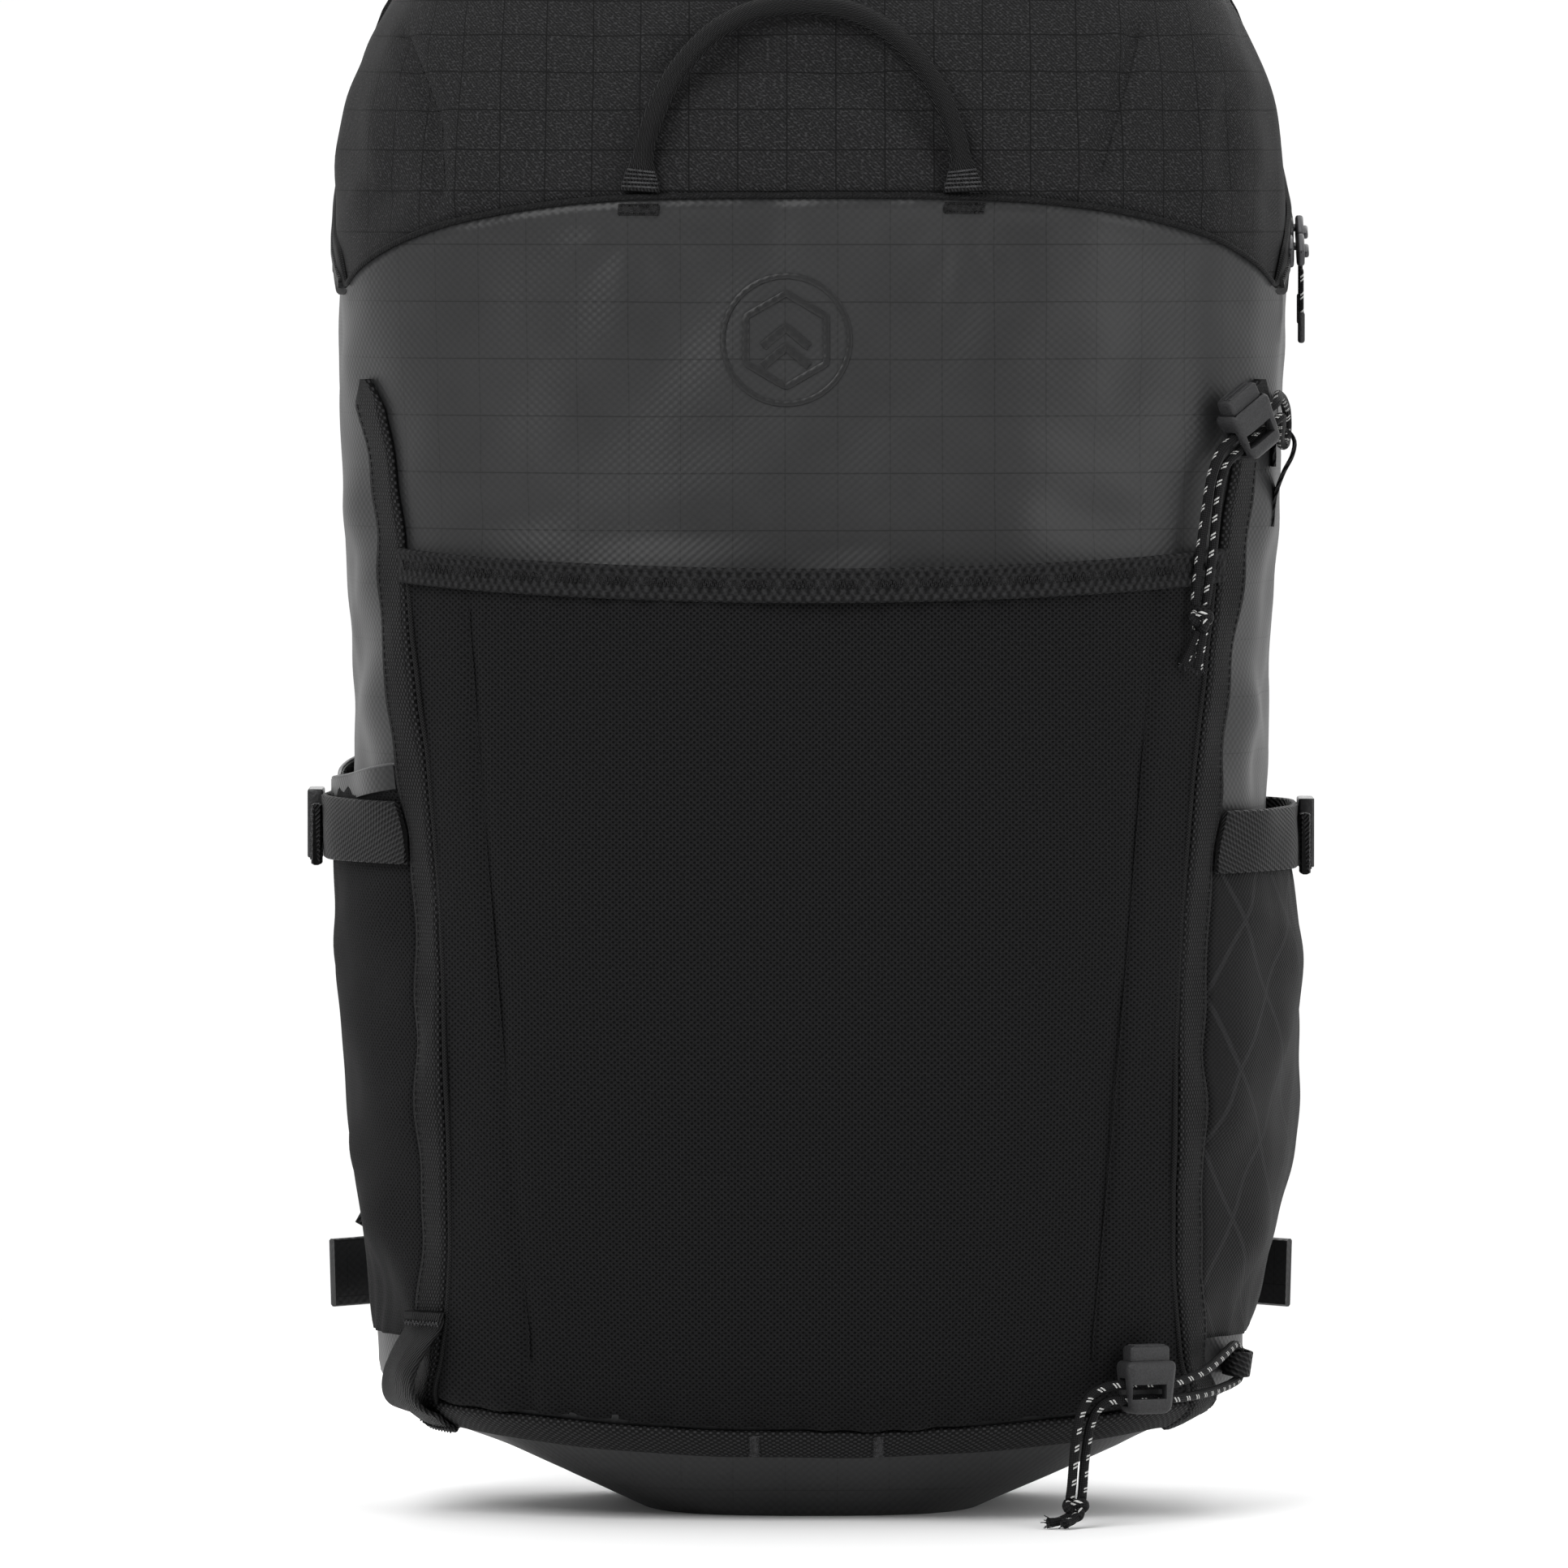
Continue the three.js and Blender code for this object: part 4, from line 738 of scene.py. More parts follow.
def ripstop(name, color, fleck):
    r = Recipe(name, color, 0.75, Specular_IOR_Level=0.10, Sheen_Weight=0.02, Sheen_Roughness=0.4)
    twill = r.wave(r.calc("ADD", r.u, r.v), 0.0013)
    speck = r.between(r.noise(r.uv, 0.0011, 1.0, (1.0, 1.7, 1.0)), 0.50, 0.72)
    grid = r.calc("MAXIMUM", r.line(r.u, 0.0154, 0.00045), r.line(r.v, 0.0125, 0.00045))
    # Painted highlight and shade: the twill's diagonal ridges are coloured lighter and its hollows darker. The pale
    # flecks and the dark grid lines are the weave's own colours.
    weave = r.calc("MULTIPLY_ADD", twill, 0.16, r.calc("MULTIPLY_ADD", speck, 0.8, 0.2))
    share = r.calc("MULTIPLY", weave, r.calc("SUBTRACT", 1.0, grid))
    r.tint(share, shade(color, 0.45), fleck)
    r.emboss(r.calc("MULTIPLY_ADD", grid, -1.2, r.calc("MULTIPLY", twill, 0.5)), 0.00012)
    return r.material


def knit(name, color, pitch=0.0021):
    r = Recipe(name, color, 0.8, Specular_IOR_Level=0.05, Sheen_Weight=0.01)
    cells = r.calc("MULTIPLY", r.wave(r.u, pitch), r.wave(r.v, pitch * 0.85))
    hole = r.between(cells, 0.15, 0.65)
    yarn = r.noise(r.uv, 0.0009, 1)
    # Painted shade: the mesh's holes are coloured dark, as the shadowed gap behind the mesh; the yarn noise varies
    # the tone at random.
    r.tint(r.calc("MULTIPLY", r.calc("SUBTRACT", 1.0, hole), r.calc("MULTIPLY_ADD", yarn, 0.9, 0.3)),
           shade(color, 0.25), shade(color, 1.9))
    r.emboss(r.calc("MULTIPLY_ADD", hole, -1.0, yarn), 0.00025)
    return r.material


def spacer(name, color):
    r = Recipe(name, color, 0.85, Specular_IOR_Level=0.1, Sheen_Weight=0.02)
    split = r.tree.nodes.new("ShaderNodeSeparateXYZ")
    r.tree.links.new(r.object, split.inputs[0])
    x, z = split.outputs["X"], split.outputs["Z"]
    cells = r.calc("MULTIPLY", r.wave(x, 0.0052), r.wave(z, 0.0046))
    hole = r.between(r.calc("ABSOLUTE", cells), 0.25, 0.7)
    # Painted shade: the spacer mesh's holes are coloured dark and the mesh between them lighter.
    r.tint(hole, shade(color, 1.5), shade(color, 0.3))
    r.emboss(r.calc("MULTIPLY", hole, -1.0), 0.0004)
    return r.material


def woven(name, color, along=0.0024, across=0.0026, depth=0.0003):
    r = Recipe(name, color, 0.6, Specular_IOR_Level=0.10)
    cells = r.calc("MULTIPLY", r.wave(r.u, along), r.wave(r.v, across))
    # Painted highlight and shade: the raised crossings of the weave are coloured lighter and its hollows darker; the
    # fuzz noise varies the tone at random.
    lit = r.between(cells, -0.2, 0.8)
    fuzz = r.noise(r.uv, 0.0006, 1)
    r.tint(r.calc("MULTIPLY", lit, r.calc("ADD", fuzz, 0.45)), shade(color, 0.35), shade(color, 3.6))
    r.emboss(r.calc("MULTIPLY_ADD", fuzz, 0.5, lit), depth)
    return r.material


def ribbed(name, color, pitch=0.0011):
    """Narrow ribs that run along a strap, crossed by a slanting weave."""
    r = Recipe(name, color, 0.55, Specular_IOR_Level=0.12)
    ribs = r.wave(r.calc("MULTIPLY_ADD", r.u, 0.35, r.v), pitch)
    weave = r.wave(r.calc("MULTIPLY_ADD", r.v, 0.6, r.u), 0.0016)
    height = r.calc("MULTIPLY_ADD", weave, 0.45, ribs)
    # Painted highlight and shade: the colour follows the bump, lighter on the ribs' tops and darker in the grooves.
    r.tint(r.between(height, -0.6, 1.3), shade(color, 0.4), shade(color, 3.0))
    r.emboss(height, 0.0003)
    return r.material


def tape(name, color):
    r = Recipe(name, color, 0.75, Specular_IOR_Level=0.08)
    fuzz = r.noise(r.uv, 0.0009, 3)
    loops = r.calc("MULTIPLY", r.wave(r.u, 0.0031), r.wave(r.v, 0.0052))
    # Painted highlight and shade: the colour follows the bump, lighter on the raised loops and fuzz and darker in the
    # hollows.
    lit = r.calc("MULTIPLY_ADD", loops, 0.3, fuzz)
    r.tint(r.between(lit, 0.15, 0.95), shade(color, 0.45), shade(color, 2.3))
    r.emboss(lit, 0.00035)
    return r.material


def braid(name, color, fleck):
    """Round braid with paired slanting flecks at even steps."""
    r = Recipe(name, color, 0.6, Specular_IOR_Level=0.12)
    plait = r.calc("MULTIPLY", r.wave(r.calc("ADD", r.u, r.v), 0.0014), r.wave(r.calc("SUBTRACT", r.u, r.v), 0.0014))
    row = r.calc("MULTIPLY", r.v, 2 / 0.0094)
    stagger = r.calc("MULTIPLY", r.calc("FLOOR", row), 0.0029)
    step = r.calc("FRACT", r.calc("DIVIDE", r.calc("ADD", r.u, stagger), 0.0056))
    p = r.calc("MULTIPLY", r.calc("SUBTRACT", step, 0.5), 0.0056)
    q = r.calc("MULTIPLY", r.calc("SUBTRACT", r.calc("FRACT", row), 0.5), 0.0047)
    slant = r.calc("MULTIPLY_ADD", q, -0.7, p)
    pair = r.calc("ABSOLUTE", r.calc("SUBTRACT", r.calc("ABSOLUTE", slant), 0.00060))
    mark = r.calc("MULTIPLY", r.calc("LESS_THAN", pair, 0.00030), r.calc("LESS_THAN", r.calc("ABSOLUTE", q), 0.00085))
    node = r.tint(mark, shade(color, 1.0), fleck)
    # Painted highlight and shade: the plait's raised strands are coloured lighter and the gaps between them darker.
    # The flecks are the cord's own pale yarns.
    base = r.tree.nodes.new("ShaderNodeMix")
    base.data_type = "RGBA"
    r.tree.links.new(r.between(plait, -0.3, 0.9), base.inputs["Factor"])
    base.inputs[6].default_value = (*shade(color, 0.4), 1)
    base.inputs[7].default_value = (*shade(color, 2.0), 1)
    r.tree.links.new(base.outputs[2], node.inputs[6])
    r.emboss(plait, 0.0002)
    return r.material


def moulded(name, color, roughness=0.5, grain=0.0006):
    r = Recipe(name, color, roughness, Specular_IOR_Level=0.32)
    spark = r.noise(r.object, grain, 3)
    r.emboss(spark, 0.00022)
    # Painted highlight and shade: the grain's raised spots are coloured lighter and its pits darker.
    r.tint(r.between(spark, 0.3, 0.75), shade(color, 0.75), shade(color, 1.35))
    r.rough(r.noise(r.object, 0.004, 2), roughness - 0.08, roughness + 0.1)
    return r.material


def metal(name, color):
    r = Recipe(name, color, 0.35, Metallic=0.85)
    r.rough(r.noise(r.object, 0.0015, 2), 0.25, 0.5)
    return r.material


def thread(name, color):
    r = Recipe(name, color, 0.6, Specular_IOR_Level=0.15)
    r.emboss(r.wave(r.u, 0.0008), 0.0002)
    r.tint(r.between(r.noise(r.object, 0.0012, 1), 0.3, 0.7), shade(color, 0.6), shade(color, 1.4))
    return r.material


def lining(name, color):
    r = Recipe(name, color, 0.7, Specular_IOR_Level=0.4)
    weave = r.calc("MULTIPLY", r.wave(r.u, 0.0012), r.wave(r.v, 0.0012))
    r.emboss(weave, 0.0001)
    r.tint(r.noise(r.object, 0.02, 3), shade(color, 0.8), shade(color, 1.2))
    return r.material


def materials():
    """Every material by name, made once from the panel's colours."""
    known = materials.__dict__.setdefault("made", {})
    if known:
        return known
    c = bpy.context.scene.daypack_fabric
    h = bpy.context.scene.daypack_trim
    coat, lid, mesh = tuple(c.coated_color), tuple(c.lid_color), tuple(c.mesh_color)
    web, cord = tuple(h.webbing_color), tuple(h.cord_color)
    known["coated"] = coated("Coated fabric", coat, c.coated_roughness)
    known["coated_trim"] = coated("Coated trim", shade(coat, 0.8), c.coated_roughness - 0.08)
    known["coated_edge"] = moulded("Cut edge of coated fabric", shade(coat, 2.4), 0.45)
    known["emblem"] = coated("Raised emblem", shade(coat, 0.62), 0.36)
    known["ripstop"] = ripstop("Ripstop fabric", lid, tuple(c.fleck_color))
    known["knit"] = knit("Stretch mesh", mesh)
    known["lattice"] = lattice("Lattice stretch fabric", mesh)
    known["spacer"] = spacer("Spacer mesh", shade(lid, 1.0))
    known["foam_back"] = ripstop("Back panel fabric", shade(lid, 0.8), shade(lid, 1.5))
    known["webbing"] = woven("Woven webbing", web)
    known["strap"] = ribbed("Ribbed webbing", web, 0.0016)
    known["handle"] = ribbed("Rolled handle webbing", web)
    known["binding"] = tape("Knitted binding", shade(web, 1.1))
    known["zip_tape"] = woven("Zip tape", shade(web, 0.7), 0.0009, 0.0011, 0.00012)
    known["zip_teeth"] = moulded("Zip teeth", shade(web, 1.2), 0.35, 0.002)
    known["braid"] = braid("Flecked braid", cord, tuple(h.fleck_color))
    known["fray"] = thread("Frayed cord end", shade(cord, 3.0))
    known["moulded"] = moulded("Moulded plastic", tuple(h.plastic_color))
    known["glossy"] = moulded("Smooth moulded plastic", shade(tuple(h.plastic_color), 0.7), 0.33, 0.002)
    known["sheet"] = moulded("Frame sheet plastic", (0.06, 0.06, 0.062), 0.5, 0.002)
    known["slider"] = metal("Slider metal", (0.05, 0.05, 0.053))
    known["thread"] = thread("Dark thread", shade(web, 1.5))
    known["light_thread"] = thread("Light thread", shade(web, 5.0))
    known["lining"] = lining("Lining", (0.05, 0.051, 0.053))
    return known


def lattice(name, color):
    """Stretch fabric with raised crossing lines."""
    r = Recipe(name, color, 0.65, Specular_IOR_Level=0.12)
    rise = r.calc("MULTIPLY", r.v, 0.72)
    a = r.line(r.calc("ADD", r.u, rise), 0.034, 0.0022)
    b = r.line(r.calc("SUBTRACT", r.u, rise), 0.034, 0.0022)
    raised = r.calc("MAXIMUM", a, b)
    cells = r.calc("MULTIPLY", r.wave(r.u, 0.0018), r.wave(r.v, 0.0016))
    # Painted highlight: the colour follows the bump, lighter on the raised crossing lines and on the tops of the
    # weave's cells.
    r.tint(r.calc("MULTIPLY_ADD", cells, 0.15, r.calc("MULTIPLY", raised, 0.8)), shade(color, 0.9), shade(color, 2.6))
    r.emboss(r.calc("MULTIPLY_ADD", cells, 0.25, raised), 0.0006)
    return r.material


# ---------------------------------------------------------------- settings

class DaypackFabric(bpy.types.PropertyGroup):
    """Colours and sizes of the bag's fabrics."""

    coated_color: bpy.props.FloatVectorProperty(
        name="Coated fabric", description="Colour of the coated front panel and sides",
        subtype="COLOR", size=3, min=0, max=1, default=(0.0185, 0.0187, 0.0192))
    coated_roughness: bpy.props.FloatProperty(
        name="Coated roughness", description="How dull the coating is",
        subtype="FACTOR", min=0.1, max=1, default=0.42)
    lid_color: bpy.props.FloatVectorProperty(
        name="Lid fabric", description="Colour of the lid's grid weave",
        subtype="COLOR", size=3, min=0, max=1, default=(0.0090, 0.0090, 0.0094))
    fleck_color: bpy.props.FloatVectorProperty(
        name="Lid flecks", description="Colour of the pale yarns in the lid's weave",
        subtype="COLOR", size=3, min=0, max=1, default=(0.030, 0.030, 0.031))
    mesh_color: bpy.props.FloatVectorProperty(
        name="Stretch mesh", description="Colour of the pocket mesh",
        subtype="COLOR", size=3, min=0, max=1, default=(0.0060, 0.0060, 0.0063))
    fabric_thickness: bpy.props.FloatProperty(
        name="Fabric thickness", description="Thickness of the bag's walls",
        subtype="DISTANCE", unit="LENGTH", min=0.0005, max=0.003, default=0.0016)
    fold_depth: bpy.props.FloatProperty(
        name="Fold depth", description="Strength of the fabric's folds and puckers",
        subtype="FACTOR", min=0, max=2, default=1.0)


class DaypackTrim(bpy.types.PropertyGroup):
    """Colours and sizes of webbing, cords and fittings."""

    webbing_color: bpy.props.FloatVectorProperty(
        name="Webbing", description="Colour of the webbing, handle and binding",
        subtype="COLOR", size=3, min=0, max=1, default=(0.0085, 0.0085, 0.0088))
    cord_color: bpy.props.FloatVectorProperty(
        name="Cord", description="Colour of the pole holders' cord",
        subtype="COLOR", size=3, min=0, max=1, default=(0.0075, 0.0075, 0.008))
    fleck_color: bpy.props.FloatVectorProperty(
        name="Cord flecks", description="Colour of the flecks in the cord",
        subtype="COLOR", size=3, min=0, max=1, default=(0.50, 0.50, 0.49))
    plastic_color: bpy.props.FloatVectorProperty(
        name="Plastic", description="Colour of the buckles and cord locks",
        subtype="COLOR", size=3, min=0, max=1, default=(0.018, 0.018, 0.019))
    edge_width: bpy.props.FloatProperty(
        name="Edge webbing width", description="Width of the webbing beside the front pocket",
        subtype="DISTANCE", unit="LENGTH", min=0.004, max=0.012, default=0.008)
    cord_diameter: bpy.props.FloatProperty(
        name="Cord diameter", description="Diameter of the pole holders' cord",
        subtype="DISTANCE", unit="LENGTH", min=0.002, max=0.004, default=0.003)
    pad_fill: bpy.props.FloatProperty(
        name="Pad fill", description="How full the foam pads are",
        subtype="FACTOR", min=0, max=1, default=0.7)


class DaypackStage(bpy.types.PropertyGroup):
    """Camera, floor and light."""

    view_width: bpy.props.FloatProperty(
        name="View width", description="Width of the view at the bag",
        subtype="DISTANCE", unit="LENGTH", min=0.2, max=3, default=0.502)
    distance: bpy.props.FloatProperty(
        name="Camera distance", description="From the camera to the bag's front",
        subtype="DISTANCE", unit="LENGTH", min=1, max=10, default=6.0)
    key_power: bpy.props.FloatProperty(
        name="Key light", description="Power of the large soft light",
        unit="POWER", min=0, max=500, default=46)
    fill_power: bpy.props.FloatProperty(
        name="Fill light", description="Power of the light on the other side",
        unit="POWER", min=0, max=500, default=20)
    world_strength: bpy.props.FloatProperty(
        name="Surroundings", description="Strength of the white surroundings",
        min=0, max=3, default=1.02)
    front_share: bpy.props.FloatProperty(
        name="Front share", description="How bright the surroundings are in front, against behind",
        subtype="FACTOR", min=0, max=1, default=0.38)


# ---------------------------------------------------------------- operators

class DAYPACK_OT_stage(bpy.types.Operator):
    """Pale floor, soft studio light and the camera."""

    bl_idname = "daypack.stage"
    bl_label = "Stage"

    def execute(self, context):
        s = context.scene.daypack_stage
        scene = context.scene
        scene.view_settings.view_transform = "Standard"
        scene.view_settings.look = "None"
        world = bpy.data.worlds.new("Surroundings")
        world.use_nodes = True
        background = world.node_tree.nodes["Background"]
        background.inputs["Strength"].default_value = s.world_strength
        nodes, links = world.node_tree.nodes, world.node_tree.links
        split = nodes.new("ShaderNodeSeparateXYZ")
        links.new(nodes.new("ShaderNodeTexCoord").outputs["Generated"], split.inputs[0])
        fade = nodes.new("ShaderNodeMapRange")
        fade.interpolation_type = "SMOOTHSTEP"
        links.new(split.outputs["Y"], fade.inputs["Value"])
        fade.inputs["From Min"].default_value = -0.7
        fade.inputs["From Max"].default_value = 0.6
        fade.inputs["To Min"].default_value = s.front_share
        links.new(fade.outputs[0], background.inputs["Color"])
        scene.world = world

        activate_none()
        bpy.ops.mesh.primitive_plane_add(size=1)
        floor = context.object
        floor.name = "Floor"
        bpy.ops.object.mode_set(mode="EDIT")
        bpy.ops.mesh.select_all(action="SELECT")
        bpy.ops.transform.resize(value=(12, 6.9, 1))
        bpy.ops.transform.translate(value=(0, -2.55, 0))
        bpy.ops.object.mode_set(mode="OBJECT")
        pale = Recipe("Pale floor", (0.93, 0.93, 0.93), 0.55)
        pale.rough(pale.noise(pale.object, 0.5, 2), 0.5, 0.6)
        floor.data.materials.append(pale.material)

        camera = bpy.data.cameras.new("Camera")
        camera.sensor_width = 36
        camera.lens = 36 * s.distance / s.view_width
        camera.clip_end = 50
        holder = bpy.data.objects.new("Camera", camera)
        scene.collection.objects.link(holder)
        centre = Vector((-0.0086, 0.0, 0.2296))
        tilt = math.radians(2.0)
        holder.location = centre + Vector((0, -math.cos(tilt), math.sin(tilt))) * s.distance
        holder.rotation_euler = (math.pi / 2 - tilt, 0, 0)
        scene.camera = holder

        for name, at, aim, size, power in (
            ("Key light", (-1.1, -1.6, 1.9), (0, 0, 0.25), (1.5, 1.5), s.key_power),
            ("Fill light", (1.7, -1.3, 1.0), (0, 0, 0.25), (1.2, 1.6), s.fill_power),
            ("Top light", (0, 0.2, 2.2), (0, 0, 0.2), (2.0, 1.6), s.fill_power * 0.8),
            ("Back light", (0.3, 2.2, 1.4), (0, 0, 0.25), (1.8, 1.4), s.fill_power * 0.8),
        ):
            lamp = bpy.data.lights.new(name, "AREA")
            lamp.shape = "RECTANGLE"
            lamp.size, lamp.size_y = size
            lamp.energy = power
            holder = bpy.data.objects.new(name, lamp)
            scene.collection.objects.link(holder)
            holder.location = at
            holder.rotation_euler = (Vector(aim) - Vector(at)).to_track_quat("-Z", "Y").to_euler()
        return {"FINISHED"}


class DAYPACK_OT_pole_cords(bpy.types.Operator):
    """Two elastic cords with their knots, frayed ends and fabric tabs."""

    bl_idname = "daypack.pole_cords"
    bl_label = "Pole cords"

    def execute(self, context):
        diameter = context.scene.daypack_trim.cord_diameter
        radius = diameter / MM / 2
        for level, points, knot_at, ends in (
            ("upper", UPPER_CORD, (122.6, -96.2, 284.6),
             [[(121.6, -96.6, 281), (119.6, -97.6, 276), (117.2, -98.6, 270.5)],
              [(123.6, -96.2, 281), (122.6, -97.4, 275), (121.6, -98.4, 269)]]),
            ("lower", LOWER_CORD, (83, -122.8, 6.2),
             [[(81.6, -123.8, 4.2), (78.2, -125.6, 2.6), (74.4, -127.6, 2.0)],
              [(83.2, -124.4, 4.0), (81.6, -127.0, 2.6), (79.4, -130.2, 2.0)]]),
        ):
            line = spline(points, 1.1)
            cord = cord_line(f"Pole cord {level}".replace(" ", "_"), line, radius, 12)
            dress(cord, "braid", nodes=[f"pole_cord_{level}"])
            # the overhand knot that ties both tails
            t = np.linspace(0, 2 * math.pi, 64, endpoint=False)
            loop = np.stack([np.sin(t) + 2 * np.sin(2 * t), 0.9 * np.sin(3 * t), np.cos(t) - 2 * np.cos(2 * t)], -1)
            loop = loop * [1.05, 1.5, 0.95] + knot_at
            if level == "lower":
                loop[:, 2] = np.maximum(loop[:, 2], 1.7)
            knot = cord_line(f"Cord_knot_{level}", loop, radius * 0.98, 10, closed=True)
            dress(knot, "braid", nodes=[f"cord_knot_{level}"])
            tails = []
            for k, end in enumerate(ends):
                tail = spline(end, 0.8)
                grow = np.interp(np.linspace(0, 1, len(tail)), [0, 0.75, 1], [1, 1.0, 1.2]) * radius * 0.95
                tails.append(cord_line(f"tail{level}{k}", tail, grow, 10))
            dress(join(f"Cord_tails_{level}", tails), "braid")
            strands = []
            rng = np.random.default_rng(5)
            for end in ends:
                tip, before = np.array(end[-1], float), np.array(end[-2], float)
                way = (tip - before) / np.linalg.norm(tip - before)
                for _ in range(16):
                    spread = rng.normal(size=3)
                    spread -= way * np.dot(spread, way)
                    start = tip - way * 0.8 + spread * 0.55
                    stop = start + way * rng.uniform(1.2, 2.6) + spread * 0.7
                    if level == "lower":
                        start[2], stop[2] = max(start[2], 0.5), max(stop[2], 0.4)
                    strands.append(cord_line("strand", even(np.array([start, stop]), 0.6), 0.16, 4))
            dress(join(f"Frayed_ends_{level}", strands), "fray")
        tabs = {
            "upper": ([[-38, 313, 1.3], [-38, 322, 1.9], [-38, 330, 4.4], [-38, 336, 7.2], [-38, 340.5, 7.6],
                       [-38, 343.6, 4.8], [-38, 341, 1.5], [-38, 335, 1.3], [-38, 332, 1.3]], (0, 1, 0)),
            "lower": ([[-30, 48, 1.6], [-36, 48, 2.4], [-41, 48, 5], [-46, 48, 8.6], [-50.5, 48, 8.2],
                       [-52.5, 48, 5.2], [-50.5, 48, 1.9], [-46, 48, 1.6], [-43.5, 48, 1.6]], (0.15, 0, 1)),
        }
        for level, (path, across) in tabs.items():
            points = []
            for y, z, lift in path:
                turn = turn_at_y(np.array(float(y)), np.array(float(z)), 1)
                points.append(ring(turn, run_at(np.array(float(z)))) + normal_at(turn, np.array(float(z))) * lift)
            tab = strap(f"Pole_tab_{level}", points, across, 8.0, 1.2, 1.0)
            dress(tab, "strap", nodes=[f"pole_tab_{level}"])
        return {"FINISHED"}


class DAYPACK_OT_cord_locks(bpy.types.Operator):
    """Spring cord locks: a body with a window for the cords, and a button on top."""

    bl_idname = "daypack.cord_locks"
    bl_label = "Cord locks"

    def execute(self, context):
        for level, at, facing, roll in (
            ("upper", (138.4, -80.9, 345), (0.7, -0.714, 0), math.pi / 6),
            ("lower", (105.5, -102, 43.2), (0.42, -0.9075, 0), 0),
        ):
            at = np.array(at, float)
            out = np.array(facing) / np.linalg.norm(facing)
            flat = np.cross([0, 0, 1], out)
            across = flat * math.cos(roll) + np.array([0, 0, 1]) * math.sin(roll)
            up = np.cross(across, -out)
            axes = np.array([across, -out, up])
            body = block(f"Cord_lock_{level}", (18, 11, 17), bevel=0, taper=((2, 0), 0.78, 1.0))
            activate(body)
            apply_modifier(body, "BEVEL", width=2.6 * MM, segments=4, limit_method="ANGLE")
            window = block("window", (24, 4, 9), at=(0, 0, -1.6), bevel=0)
            front = block("front", (11.5, 8, 4.6), at=(-1.2, -4.5, -1.4), bevel=0)
            well = block("well", (14.6, 7.6, 7.6), at=(0, 0, 6.7), bevel=0)
            cut(body, [window, front, well])
            finish_hard(body, 0.35)
            button = block(f"Lock_button_{level}", (13.7, 6.7, 6.7), at=(0, 0, 9.65), bevel=1.1, segments=3)
            ridge = [block("ridge", (11, 0.8, 1.0), at=(0, y, 12.9), bevel=0.3) for y in (-2.0, 0, 2.0)]
            button = finish_hard(join(f"Lock_button_{level}", [button, *ridge]), 0)
            for obj in (body, button):
                obj.matrix_world = Matrix.Translation(Vector(at) * MM) @ Matrix(axes.T.tolist()).to_4x4()
                activate(obj)
                bpy.ops.object.transform_apply(location=True, rotation=True, scale=True)
            dress(body, "moulded", nodes=[f"cord_lock_{level}"])
            dress(button, "moulded", body=f"lock_button_{level}", nodes=[f"lock_button_{level}"])
        return {"FINISHED"}


def bag_grid(name, low, high, turns, rows, tuck=0.0, lift=0.0, close_low=False, close_high=False, roll=0.0):
    """Skin of the bag between two distances up its side, round the whole bag."""
    depth = bpy.context.scene.daypack_fabric.fold_depth
    share = np.linspace(0, 1, rows)[:, None]
    turn = turns[None, :-1]
    run = low[None, :-1] + (high - low)[None, :-1] * share
    p = ring(turn + 0 * run, run)
    n = normal_at(turn + 0 * run, np.clip(run, 0, 599.2))
    off = relief(p, depth) + lift
    if roll:
        off = off + roll * np.exp(-(high[None, :-1] - run) / 2.5)
    if tuck:
        off = off - tuck * np.exp(-np.clip(run - low[None, :-1], 0, None) / 3.0)
    if close_high:
        off = off * smooth((598 - run) / 30)
        n = n + (np.array([0, 0, 1.0]) - n) * smooth((run - 588) / 10)[..., None]
    p = p + n * off[..., None]
    girth = ring(turns, np.full(turns.shape, 300.0))
    walk = np.concatenate([[0], np.cumsum(np.linalg.norm(np.diff(girth, axis=0), axis=1))])
    columns = len(turns) - 1
    faces, corners = grid_faces(rows, columns, wrap=True)
    half = outline(height_of(run))[0] / outline(np.array(300.0))[0]
    loops = []
    for corner in corners:
        for j, i in corner:
            stretch = half[j, i % columns]
            loops.append(((walk[i] - walk[-1] / 2) * stretch, run[j, i % columns]))
    points = list(p.reshape(-1, 3))
    for closing, row, order in ((close_low, 0, -1), (close_high, rows - 1, 1)):
        if not closing:
            continue
        edge = [row * columns + i for i in range(columns)]
        centre = p[row].mean(axis=0)
        inner = edge
        steps = (0.75, 0.5, 0.25) if order < 0 else ()
        for share_in in steps:
            start = len(points)
            points += list(centre + (p[row] - centre) * share_in)
            ring_now = [start + i for i in range(columns)]
            for i in range(columns):
                k = (i + 1) % columns
                face = [inner[i], inner[k], ring_now[k], ring_now[i]][::order]
                faces.append(face)
                loops += [tuple(points[v][:2]) for v in face]
            inner = ring_now
        middle = len(points)
        points.append(centre)
        for i in range(columns):
            face = [inner[i], inner[(i + 1) % columns], middle][::order]
            faces.append(face)
            loops += [tuple(points[v][:2]) for v in face]
    obj = new_mesh(name, np.array(points), faces, loops)
    face_out(obj)
    return obj


def line_inside(obj, thickness):
    """Gives a fabric skin its thickness, with lining inside."""
    obj.data.materials.append(materials()["lining"])
    apply_modifier(obj, "SOLIDIFY", thickness=thickness, offset=-1, material_offset=1, use_rim=True)


class DAYPACK_OT_body(bpy.types.Operator):
    """The bag's coated body, folded and puckered as it is packed."""

    bl_idname = "daypack.body"
    bl_label = "Body"

    def execute(self, context):
        turns = seam_turns(300)
        edge = seam_run(np.arctan2(np.sin(turns), np.cos(turns)))
        body = bag_grid("Body_shell", np.zeros(301), edge - 0.4, turns, 122, close_low=True, roll=0.9)
        body.data.materials.append(materials()["coated"])
        line_inside(body, context.scene.daypack_fabric.fabric_thickness)
        dress(body, None, nodes=["main_shell"])
        return {"FINISHED"}


